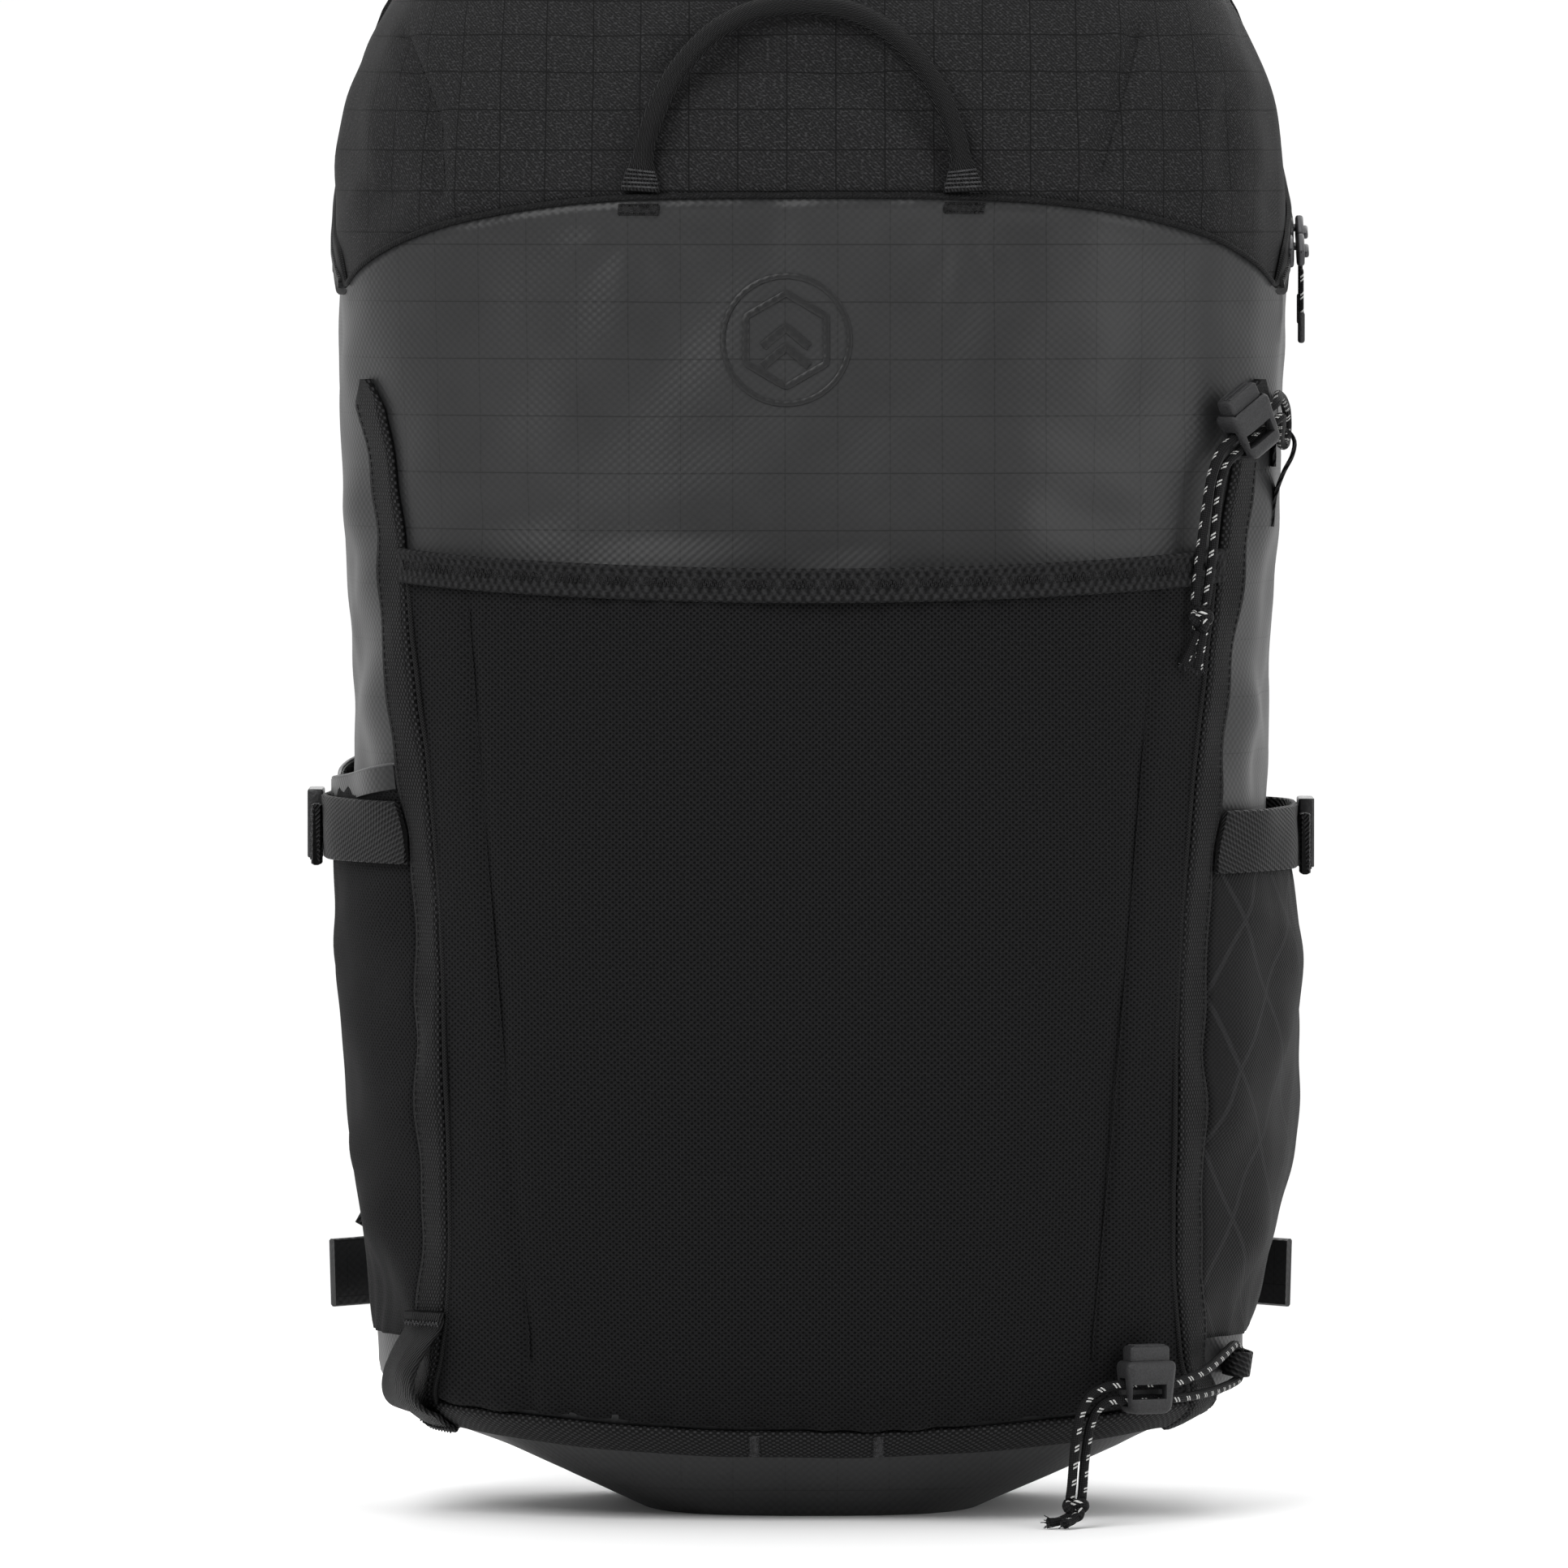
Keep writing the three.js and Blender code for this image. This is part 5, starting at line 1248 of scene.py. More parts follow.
class DAYPACK_OT_lid(bpy.types.Operator):
    """The lid of grid-woven fabric, with its darts and zip edge."""

    bl_idname = "daypack.lid"
    bl_label = "Lid"

    def execute(self, context):
        turns = seam_turns(300)
        edge = seam_run(np.arctan2(np.sin(turns), np.cos(turns)))
        lid = bag_grid("Lid_shell", edge - 2.5, np.full(301, 599.0), turns, 66, tuck=1.6, close_high=True)
        lid.data.materials.append(materials()["ripstop"])
        line_inside(lid, context.scene.daypack_fabric.fabric_thickness)
        dress(lid, None, body=None, nodes=["lid_shell"])
        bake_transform(lid)
        line, out = seam_path(1.5, front=True)
        edging = cord_line("Lid_edging", line + out * 0.9 + [0, 0, 0.6], 0.95, 8)
        dress(edging, "foam_back", body=None)
        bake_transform(edging)
        stitches = []
        for dart in ([(-130, 469), (-124, 455), (-119, 441), (-117, 420)], [(103, 470), (97, 449), (90, 425)]):
            line = even(np.array([(x, 0, z) for x, z in dart], float), 2.2)
            for a, b in zip(line, line[1:]):
                x = np.array([a[0], a[0] * 0.3 + b[0] * 0.7]) + 1.6
                z = np.array([a[2], a[2] * 0.3 + b[2] * 0.7])
                stitches.append(cord_line("stitch", front_at(x, z, 0.2), 0.2, 4))
        seams = join("Dart_stitching", stitches)
        dress(seams, "thread", body=None)
        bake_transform(seams)
        return {"FINISHED"}


def pocket_bottom(across):
    return 34 + 7.5 * across**2


def pocket_top(across):
    return 291 + 6 * across**2


def pocket_lift(across, z):
    height = np.clip((z - 34) / 257, 0, 1)
    return 1.4 + 11 * (1 - np.abs(across) ** 2.4) * np.sin(height * math.pi * 0.62) ** 0.8


class DAYPACK_OT_front_pocket(bpy.types.Operator):
    """Stretch mesh pocket across the front, with its binding and seams."""

    bl_idname = "daypack.front_pocket"
    bl_label = "Front pocket"

    def execute(self, context):
        rows, columns = 96, 131
        across = np.linspace(-1, 1, columns)[None, :]
        share = np.linspace(0, 1, rows)[:, None]
        z = pocket_bottom(across) - 3 + (pocket_top(across) + 4 - pocket_bottom(across) + 3) * share
        x = across * (edge_x(z) - 3.2)
        seam_x = 88 + (np.clip(z, 60, 284) - 60) / 224 * 17
        near = np.exp(-((np.abs(x) - seam_x) / 2.2) ** 2)
        below = np.clip(pocket_top(across) - z, 0, None)
        above = np.clip(z - pocket_bottom(across), 0, None)
        gather = 0.4 * np.exp(-below / 10) * np.sin(x / 1.9) + 0.5 * np.exp(-above / 9) * np.sin(x / 2.3)
        sag = 0.9 * np.sin(x / 23 + z / 41) * np.sin(z / 29 + 0.7) + 0.5 * np.sin(x / 11 - z / 37)
        side_pull = 0.6 * np.exp(-(edge_x(z) - np.abs(x)) / 12) * np.sin(z / 4.1 + x / 30)
        fade = smooth((1 - np.abs(across)) / 0.12)
        lift = pocket_lift(across, z) - 1.0 * near + gather + sag * fade + side_pull * fade
        points = on_bag(turn_at_x(x, z), z, lift, 0.35)
        uv = np.stack([x * 1.04, z + 0 * x], -1)
        pocket = cloth_grid("Front_pocket", points, uv, 0.9)
        dress(pocket, "knit", nodes=["front_pocket"])
        # the seams between its three panels
        lines = []
        for side in (-1, 1):
            zs = np.linspace(52, 288, 200)
            xs = side * (88 + (np.clip(zs, 60, 284) - 60) / 224 * 17)
            a = xs / (edge_x(zs) - 3.2)
            p = on_bag(turn_at_x(xs, zs), zs, pocket_lift(a, zs) - 0.7, 0.35)
            lines.append(cord_line("seam", p, 0.45, 6))
        seams = dress(join("Pocket_seams", lines), "knit")

        section = np.array([
            [-0.8, 0.1], [-0.9, 1.9], [-0.2, 3.0], [0.9, 3.0], [1.6, 2.3], [2.1, 2.0], [5.0, 2.2], [7.6, 2.0],
            [8.1, 2.2], [8.6, 2.8], [9.4, 2.8], [9.9, 2.0], [9.9, 0.1],
        ])
        rings_ = []
        for a in np.linspace(-1, 1, 241):
            top = pocket_top(a)
            zz = top + section[:, 0]
            xx = a * (edge_x(zz) - 3.6)
            wrinkle = 0.15 * math.sin(a * 130 / 2.2) + 0.12 * math.sin(a * 57)
            rings_.append(on_bag(turn_at_x(xx, zz), zz, pocket_lift(a, top) - 0.2 + section[:, 1] + wrinkle, 0.35))
        binding = tube("Pocket_binding", rings_, sharp=None)
        dress(binding, "binding", nodes=["front_pocket_binding"])
        points = []
        steps = 420
        for k in range(steps):
            a = -0.985 + 1.97 * k / (steps - 1)
            zz = pocket_top(a) + (3.4 if k % 2 else 6.2)
            xx = a * (edge_x(zz) - 3.6)
            points.append(on_bag(turn_at_x(xx, zz), zz, pocket_lift(a, pocket_top(a)) + 2.05, 0.35))
        stitching = dress(surface_zigzag("Binding_stitching", points, 0.24), "thread")
        return {"FINISHED"}


class DAYPACK_OT_edge_webbing(bpy.types.Operator):
    """Webbing beside and below the pocket, the piping along it, and the gear loop."""

    bl_idname = "daypack.edge_webbing"
    bl_label = "Edge webbing"

    def execute(self, context):
        width = context.scene.daypack_trim.edge_width / MM
        for name, side in SIDES:
            def place(v, across, out):
                z = 29 + 331 * v
                narrow = min(1.0, 0.2 + (1 - v) * 32)
                x = side * (edge_x(np.array(z)) + across * narrow)
                return on_bag(turn_at_x(x, z), np.full(across.shape, z), 0.3 + out)

            webbing = band(f"Edge_webbing_{name}", place, 190, flat_section(width, 2.4))
            dress(webbing, "webbing", nodes=[f"edge_webbing_{name}"])
            z = np.linspace(31, 303, 230)
            x = side * (edge_x(z) - width / 2 - 1.1)
            piping = cord_line(f"Pocket_piping_{name}", on_bag(turn_at_x(x, z), z, 1.6), 1.0, 8)
            dress(piping, "zip_tape")
            stitches = []
            for z in np.arange(33, 352, 2.6):
                zz = np.array([z, z + 1.7])
                for inset in (-1, 1):
                    x = side * (edge_x(zz) + inset * (width / 2 - 1.1))
                    stitches.append(cord_line("stitch", on_bag(turn_at_x(x, zz), zz, 2.75), 0.2, 4))
            dress(join(f"Edge_stitching_{name}", stitches), "thread")

        def base_place(v, across, out):
            a = -1 + 2 * v
            rise = across + 4
            z = 22 + 7.5 * a * a + rise
            x = a * (edge_x(29.5 + rise) - 4.35)
            return on_bag(turn_at_x(x, z), z, 0.5 + out)

        base = band("Bottom_webbing", base_place, 150, flat_section(8.0, 2.2))
        dress(base, "webbing", nodes=["bottom_webbing"])
        tacks = []
        for centre in (-18, 21):
            points = []
            for k in range(26):
                z = 23.0 + 6.6 * k / 25
                x = centre + (1.9 if k % 2 else -1.9)
                points.append(on_bag(turn_at_x(np.array(x), np.array(z)), np.array(z), 2.9))
            tacks.append(surface_zigzag("tack", points, 0.26))
        dress(join("Bottom_bartacks", tacks), "light_thread")

        def loop_place(v, across, out):
            z = 30 + 36 * v
            lift = 2.9 + 8.5 * math.sin(math.pi * min(1, max(0, (v - 0.14) / 0.72)))
            x = -(edge_x(np.array(z)) + across)
            return on_bag(turn_at_x(x, z), np.full(across.shape, z), lift + out)

        loop = band("Gear_loop", loop_place, 46, flat_section(11, 1.9))
        dress(loop, "strap", nodes=["gear_loop_left"])
        rows = []
        for low in (59.5, 62.6, 31.0):
            points = []
            for k in range(22):
                x = -(float(edge_x(np.array(low))) - 5.0 + 10.0 * k / 21)
                z = low + (0.9 if k % 2 else -0.9)
                points.append(on_bag(turn_at_x(np.array(x), np.array(z)), np.array(z), 5.1))
            rows.append(surface_zigzag("tack", points, 0.28))
        dress(join("Gear_loop_bartacks", rows), "light_thread")
        return {"FINISHED"}


class DAYPACK_OT_carry_handle(bpy.types.Operator):
    """Rolled webbing handle with flattened feet, stitched down at the lid's seam."""

    bl_idname = "daypack.carry_handle"
    bl_label = "Carry handle"

    def execute(self, context):
        stations = [[-1.01, -0.01], [-1.0, 0.12], [-0.94, 0.34], [-0.79, 0.62], [-0.52, 0.87], [-0.2, 0.985],
                    [0.2, 0.985], [0.52, 0.87], [0.79, 0.62], [0.94, 0.34], [1.0, 0.12], [1.01, -0.01]]
        path = []
        for a, h in stations:
            x, z = -3 + 50 * a, 420 + 56 * h
            turn, run = turn_at_x(np.array(x), np.array(z)), run_at(np.array(z))
            path.append(ring(turn, run) + normal_at(turn, run) * (5.4 - (2.6 if h < 0.2 else 0)))
        line = spline(path, 1.3)
        t = tangents(line)
        v = np.linspace(0, 1, len(line))
        foot = smooth(1 - np.minimum(v, 1 - v) * 14)
        rings_ = []
        angle = np.arange(20) / 20 * 2 * math.pi
        for k, p in enumerate(line):
            depth = np.array([0, 1.0, 0]) - t[k] * t[k][1]
            depth /= np.linalg.norm(depth)
            flat = np.cross(depth, t[k])
            wide = (6.6 + 6.2 * foot[k]) / 2
            thick = (6.6 - 3.6 * foot[k]) / 2
            square = 1 + 0.8 * foot[k]
            c, s = np.cos(angle), np.sin(angle)
            r = (np.abs(c) ** (2 * square) + np.abs(s) ** (2 * square)) ** (-1 / (2 * square))
            rings_.append(p + (c * r * wide)[:, None] * flat + (s * r * thick)[:, None] * depth)
        handle = tube("Carry_handle", rings_)
        dress(handle, "handle", body=None, nodes=["carry_handle"])
        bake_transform(handle)
        rows, bars = [], []
        for k0, direction in ((0, 1), (len(line) - 1, -1)):
            for row in range(5):
                k = k0 + direction * (row + 1)
                p = line[k]
                depth = np.array([0, 1.0, 0]) - t[k] * t[k][1]
                depth /= np.linalg.norm(depth)
                flat = np.cross(depth, t[k])
                wide = (6.6 + 6.2 * foot[k]) / 2
                thick = (6.6 - 3.6 * foot[k]) / 2
                across = np.linspace(-0.92, 0.92, 9)[:, None]
                arch = -depth * thick * (1 - 0.16 * across**4)
                rows.append(cord_line("row", p + flat * wide * across + arch - depth * 0.1, 0.36, 6))
        stitching = dress(join("Handle_stitch_rows", rows), "light_thread", body=None)
        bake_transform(stitching)
        for x0, z0 in ((-54, 413.8), (48, 414.4)):
            points = []
            for k in range(40):
                x = x0 - 6.2 + 12.4 * k / 39
                z = z0 + (1.5 if k % 2 else -1.5)
                points.append(front_at(np.array(x), np.array(z), 0.75))
            bars.append(surface_zigzag("bar", points, 0.42))
            for low in (-1.4, 1.4):
                x = np.linspace(x0 - 6.2, x0 + 6.2, 14)
                bars.append(cord_line("bar", front_at(x, np.full(14, z0 + low), 0.5), 0.5, 6))
            x = np.linspace(x0 - 6.2, x0 + 6.2, 14)
            bars.append(cord_line("bar", front_at(x, np.full(14, z0), 0.3), 0.7, 6))
        dress(join("Handle_bartacks", bars), "thread")
        return {"FINISHED"}


class DAYPACK_OT_emblem(bpy.types.Operator):
    """Tone-on-tone emblem: a ring around a hexagon with two chevrons."""

    bl_idname = "daypack.emblem"
    bl_label = "Emblem"

    def execute(self, context):
        centre = np.array([-8.0, 373.0])

        def ribbon(points, width, closed):
            line = np.array([(x, 0, z) for x, z in points], float)
            if closed:
                line = np.concatenate([line, line[:1]])
            line = even(line, 1.2)
            if closed:
                line = line[:-1]
            step = np.roll(line, -1, 0) - np.roll(line, 1, 0) if closed else np.gradient(line, axis=0)
            side = np.stack([-step[:, 2], step[:, 0]], -1)
            side /= np.linalg.norm(side, axis=1, keepdims=True)
            rings_ = []
            for p, s in zip(line, side):
                row = []
                for w, out in ((-0.5, -0.2), (-0.5, 0.45), (-0.3, 0.6), (0.3, 0.6), (0.5, 0.45), (0.5, -0.2)):
                    row.append(front_at(np.array(p[0] + s[0] * w * width), np.array(p[2] + s[1] * w * width), out))
                rings_.append(row)
            return tube("ribbon", rings_, closed=closed, sharp=0.9)

        angle = np.linspace(0, 2 * math.pi, 72, endpoint=False)
        pieces = [ribbon(centre + 20.0 * np.stack([np.cos(angle), np.sin(angle)], -1), 1.6, True)]
        corner = np.arange(6) / 6 * 2 * math.pi + math.pi / 6
        pieces.append(ribbon(centre + 14.6 * np.stack([np.cos(corner), np.sin(corner)], -1), 2.0, True))
        for drop in (2.4, -3.6):
            pieces.append(ribbon(centre + [[-7.2, drop - 4.4], [0, drop + 1.6], [7.2, drop - 4.4]], 2.6, False))
        dress(join("Emblem", pieces), "emblem", nodes=["emblem_patch"])
        return {"FINISHED"}


def seam_path(spacing, front=False):
    """The lid's seam with outward normals: the zip's run over the crown, or the sewn run across the front."""
    turn = np.linspace(math.pi / 2, math.pi / 2 + 2 * math.pi, 2400)
    wrapped = np.arctan2(np.sin(turn), np.cos(turn))
    run = seam_run(wrapped)
    p = ring(wrapped, run)
    n = normal_at(wrapped, run)
    sewn = np.where(p[:, 1] < (-44 if front else -103))[0]
    if front:
        order = np.arange(sewn[0], sewn[-1] + 1)
    else:
        order = np.concatenate([np.arange(sewn[-1] + 1, 2400), np.arange(0, sewn[0])])
    p, n = p[order], n[order]
    off = relief(p)
    p = p + n * off[:, None]
    walk = np.concatenate([[0], np.cumsum(np.linalg.norm(np.diff(p, axis=0), axis=1))])
    at = np.linspace(0, walk[-1], round(walk[-1] / spacing) + 1)
    line = np.stack([np.interp(at, walk, p[:, k]) for k in range(3)], -1)
    out = np.stack([np.interp(at, walk, n[:, k]) for k in range(3)], -1)
    out /= np.linalg.norm(out, axis=1, keepdims=True)
    return line, out


def tooth_row(name, line, out, sign):
    """Row of moulded zip teeth on one side of the zip's line."""
    corners = np.array([[-0.35, 0.15, 0.5], [0.35, 0.15, 0.5], [0.35, 2.3, 0.5], [-0.35, 2.3, 0.5],
                        [-0.25, 0.25, 2.3], [0.25, 0.25, 2.3], [0.25, 2.1, 2.3], [-0.25, 2.1, 2.3]])
    quads = ((0, 3, 2, 1), (4, 5, 6, 7), (0, 1, 5, 4), (1, 2, 6, 5), (2, 3, 7, 6), (3, 0, 4, 7))
    along = tangents(line)
    side = np.cross(along, out) * sign
    points, faces, loops = [], [], []
    for k, (p, a, s, o) in enumerate(zip(line, along, side, out)):
        start = len(points)
        for forward, across, lift in corners:
            points.append(p + a * (forward + 0.32 * sign) + s * (across - 0.45) + o * lift)
        for quad in quads:
            faces.append([start + q for q in quad])
            loops += [(k * 1.3, 0)] * 4
    row = new_mesh(name, points, faces, loops, sharp=0.6)
    face_out(row)
    return row


class DAYPACK_OT_zip(bpy.types.Operator):
    """The lid's zip: two tapes, their teeth, and two sliders with cord pulls."""

    bl_idname = "daypack.zip"
    bl_label = "Zip"

    def execute(self, context):
        line, out = seam_path(1.5)
        side = np.cross(tangents(line), out)
        upward = 1 if side[len(side) // 8, 2] > 0 else -1
        fine_line, fine_out = seam_path(1.3)
        toothed = fine_line[:, 1] > -36
        taped = line[:, 1] > -44
        line, out, side = line[taped], out[taped], side[taped]
        section = np.array([[0.9, 0.3], [0.9, 1.5], [1.4, 1.9], [7.2, 1.9], [7.7, 1.5], [7.7, 0.3]]) - [0, 0.2]
        for piece, sign, node in (("lid", upward, "zip_track_lid"), ("body", -upward, "zip_track_body")):
            rings_ = []
            for p, s, o in zip(line, side, out):
                share = 0.10 + 0.90 * float(smooth((p[1] + 44) / 18))
                rings_.append(p + section[:, :1] * share * sign * s + section[:, 1:] * (0.4 + 0.6 * share) * o)
            tape_piece = tube(f"Zip_tape_{piece}", rings_, sharp=0.9)
            teeth = tooth_row(f"Zip_teeth_{piece}", fine_line[toothed], fine_out[toothed], sign)
            body = None if piece == "lid" else "root"
            dress(tape_piece, "zip_tape", body=body, nodes=[node])
            dress(teeth, "zip_teeth", body=body)
            if piece == "lid":
                for obj in (tape_piece, teeth):
                    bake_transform(obj)
        run = np.array([0, 0.900, 0.4356])
        run /= np.linalg.norm(run)
        outward = np.array([1.0, 0, 0])
        axes = np.array([run, np.cross(outward, run), outward])
        for name in ("front", "rear"):
            low, high = (np.array(v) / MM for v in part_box(f"zip_slider_{name}"))
            centre = (low + high) / 2 - outward * 0.3
            plate = block(f"Zip_slider_{name}", (11.6, 7.6, 2.6), bevel=1.0, segments=3, taper=((0, 1), 0.72, 1.0))
            bridge = block("bridge", (6.4, 2.2, 2.0), at=(0.4, 0, 1.7), bevel=0.7, segments=3)
            under = block("under", (11.0, 7.0, 2.6), at=(0, 0, -3.4), bevel=1.0, segments=3)
            post = block("post", (3.0, 1.6, 3.0), at=(3.6, 0, -2.0), bevel=0.3)
            slider = finish_hard(join(f"Zip_slider_{name}", [plate, bridge, under, post]), 0)
            slider.matrix_world = Matrix.Translation(Vector(centre) * MM) @ Matrix(axes.T.tolist()).to_4x4()
            activate(slider)
            bpy.ops.object.transform_apply(location=True, rotation=True, scale=True)
            dress(slider, "slider", body=f"zip_slider_{name}", nodes=[f"zip_slider_{name}"])
            low, high = (np.array(v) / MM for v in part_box(f"zip_pull_{name}"))
            x, y, z = (low + high) / 2
            top, foot = high[2], low[2]
            path = [(x, y - 1.1, foot + 7), (x, y - 1.2, z), (x, y - 0.9, top - 1.5), (x, y, top - 0.8),
                    (x, y + 0.9, top - 1.5), (x, y + 1.2, z), (x, y + 1.1, foot + 7)]
            cord = cord_line(f"Zip_pull_{name}", spline(path, 0.8), 0.75, 8)
            dress(cord, "braid", body=f"zip_pull_{name}", nodes=[f"zip_pull_{name}"])
            grip = block(f"Zip_pull_grip_{name}", (2.2, 4.6, 10), at=(x, y, foot + 5.1), bevel=0.9, segments=3)
            dress(finish_hard(grip, 0), "moulded", body=f"zip_pull_{name}")
        return {"FINISHED"}


class DAYPACK_OT_side_pockets(bpy.types.Operator):
    """Side pockets with their rims, compression straps, buckles and strap tails."""

    bl_idname = "daypack.side_pockets"
    bl_label = "Side pockets and straps"

    def execute(self, context):
        for name, side in SIDES:
            top = 238 if side < 0 else 214
            rows, columns = 74, 66
            u = np.linspace(0, 1, columns)[None, :]
            v = np.linspace(0, 1, rows)[:, None]

            def side_turn(u, z):
                front = turn_at_x(side * (edge_x(z) + 4.4), z)
                rear = turn_at_y(54.0 + 0 * z, z, side)
                if side < 0:
                    front, rear = np.mod(front, 2 * math.pi), np.mod(rear, 2 * math.pi)
                return front + (rear - front) * u

            z = 56 + (top - 7 * (1 - (1 - 2 * u) ** 2) - 56) * v
            bow = np.sin(math.pi * u) ** 0.7 * np.sin(v * math.pi * 0.6)
            gather = 0.4 * np.exp(-(1 - v) * 9) * np.sin(u * 95) + 0.5 * np.exp(-v * 8) * np.sin(u * 70)
            fold = 0.3 * np.sin(z / 7.0 + u * 5) * np.sin(math.pi * u)
            filled = 7.5 if side > 0 else 1.0
            fullness = filled * np.sin(math.pi * u) ** 0.8 * np.sin(math.pi * v) ** 0.6
            lift = 0.9 + 6.0 * bow + fullness + (gather + fold) * np.sin(math.pi * u)
            points = on_bag(side_turn(u, z), z + 0 * u, lift)
            walk = np.concatenate([[0], np.cumsum(np.linalg.norm(np.diff(points[rows // 2], axis=0), axis=1))])
            uv = np.stack([np.broadcast_to(walk, z.shape), z], -1)
            pocket = cloth_grid(f"Side_pocket_{name}", points, uv, 1.0, flip=side < 0)
            face_out(pocket)
            dress(pocket, "lattice" if side > 0 else "knit", nodes=[f"side_pocket_{name}"])
            rim_u = np.linspace(0, 1, 90)
            rim_z = top - 7 * (1 - (1 - 2 * rim_u) ** 2)
            bow = np.sin(math.pi * rim_u) ** 0.7 * math.sin(math.pi * 0.6)
            line = on_bag(side_turn(rim_u, rim_z), rim_z, 0.9 + 6.0 * bow)
            across = np.repeat([[0, 0, 1.0]], 90, 0)
            band_obj = tube(f"Side_pocket_rim_{name}", strap_rings(line - [0, 0, 3.4], across, 8.0, 1.6), sharp=0.9)
            dress(band_obj, "coated_trim" if side < 0 else "binding")
            edge = cord_line(f"Side_pocket_edge_{name}", line + [0, 0, 0.7], 0.7, 6)
            dress(edge, "coated_edge" if side < 0 else "thread")

            level = 217 if side < 0 else 214

            def strap_place(s, across, out):
                zz = level + across
                bow = math.sin(math.pi * s) ** 0.7
                return on_bag(side_turn(s, zz), zz, 2.4 + 6.2 * bow + out)

            webbing = band(f"Compression_strap_{name}", strap_place, 80, flat_section(20, 1.8))
            dress(webbing, "strap", nodes=[f"compression_strap_{name}"])
            buckle = cad_copy(f"compression_buckle_{name}", f"Compression_buckle_{name}", 0.7)
            dress(buckle, "glossy", nodes=[f"compression_buckle_{name}"])
            low, high = (np.array(c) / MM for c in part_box(f"strap_tail_{name}"))
            mid = (low + high) / 2
            rings_ = []
            for s in np.linspace(0, 1, 26):
                y = high[1] + (low[1] - high[1]) * s
                thick = (high[0] - low[0]) * (0.94 if s < 0.9 else 0.94 - (s - 0.9) * 3)
                section = flat_section(high[2] - low[2] - 0.4, thick, 0.5) - [0, thick / 2]
                rings_.append(np.stack([mid[0] + section[:, 1], y + 0 * section[:, 0], mid[2] + section[:, 0]], -1))
            tail = tube(f"Strap_tail_{name}", rings_, sharp=0.9)
            dress(tail, "strap", nodes=[f"strap_tail_{name}"])
            bar = []
            for k in range(3):
                y = low[1] + 3 + 2.1 * k
                z = np.linspace(mid[2] - 8, mid[2] + 8, 24)
                x = (high[0] if side > 0 else low[0]) + side * 0.05
                bar.append(cord_line("row", np.stack([x + 0 * z, y + 0.5 * np.sin(z * 4), z], -1), 0.26, 5))
            dress(join(f"Tail_stitching_{name}", bar), "light_thread")
        return {"FINISHED"}


def swell(obj, limit=2.0):
    """Pads out a solid like foam in a sewn cover: remesh, a short pressure simulation, and a smooth finish."""
    apply_modifier(obj, "REMESH", mode="VOXEL", voxel_size=0.0048)
    rest = np.array([v.co for v in obj.data.vertices])
    cloth = obj.modifiers.new("step", "CLOTH")
    cloth.settings.use_pressure = True
    cloth.settings.uniform_pressure_force = 4
    cloth.settings.effector_weights.gravity = 0
    cloth.settings.quality = 4
    cloth.point_cache.frame_start = 1
    cloth.point_cache.frame_end = 20
    for number in range(1, 21):
        bpy.context.scene.frame_set(number)
    activate(obj)
    bpy.ops.object.modifier_apply(modifier="step")
    now = np.array([v.co for v in obj.data.vertices])
    move = now - rest
    length = np.linalg.norm(move, axis=1, keepdims=True)
    move *= np.minimum(1, limit * MM / np.maximum(length, 1e-9))
    obj.data.vertices.foreach_set("co", (rest + move).astype(np.float32).reshape(-1))
    bpy.context.scene.frame_set(1)
    apply_modifier(obj, "SUBSURF", levels=1)
    obj.data.polygons.foreach_set("use_smooth", [True] * len(obj.data.polygons))
    return obj


class DAYPACK_OT_back(bpy.types.Operator):
    """Back panel with its foam pads, frame sheet and haul loop."""

    bl_idname = "daypack.back"
    bl_label = "Back"

    def execute(self, context):
        panel = cad_copy("back_panel", "Back_panel", 1.2)
        dress(panel, "foam_back", nodes=["back_panel"])
        for node, name in (("back_pad_left", "Back_pad_left"), ("back_pad_right", "Back_pad_right"),
                           ("lumbar_pad", "Lumbar_pad")):
            pad = swell(cad_copy(node, name))
            dress(pad, "spacer", nodes=[node])
            low, high = (np.array(c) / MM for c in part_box(node))
            rim = rounded_loop(low[0], high[0], low[2], high[2], 16 if node != "lumbar_pad" else 20, 2.0)
            line = np.array([(x, low[1] + 1.2, z) for x, z in rim])
            dress(cord_line(f"{name}_piping", line, 1.3, 8, closed=True), "binding")
        rim = rounded_loop(-110.5, 110.5, 47.5, 484.5, 36.5, 2.5)
        line = np.array([(x, PANEL_Y + 3.2, z) for x, z in rim])
        dress(cord_line("Back_panel_piping", line, 2.0, 8, closed=True), "binding")
        sheet = frame["nodes"]["frame_sheet"]
        sheet.data.materials.clear()
        sheet.data.materials.append(materials()["sheet"])
        path = [(-26, 81.1, 466), (-25, 86.1, 488), (-13, 90.1, 505), (0, 91.1, 509),
                (13, 90.1, 505), (25, 86.1, 488), (26, 81.1, 466)]
        loop = strap("Haul_loop", path, (0, 1, 0.2), 14, 2.0, 1.6)
        dress(loop, "strap", body="haul_loop", nodes=["haul_loop"])
        return {"FINISHED"}


def rounded_loop(x0, x1, z0, z1, radius, spacing):
    """Points round a rectangle with round corners, evenly spaced, not closed."""
    line = []
    for cx, cz, start in ((x1 - radius, z1 - radius, 0), (x0 + radius, z1 - radius, 90),
                          (x0 + radius, z0 + radius, 180), (x1 - radius, z0 + radius, 270)):
        for a in np.radians(np.linspace(start, start + 90, 10)):
            line.append((cx + radius * math.cos(a), 0, cz + radius * math.sin(a)))
    line = even(np.array(line + line[:1]), spacing)[:-1]
    return line[:, [0, 2]]


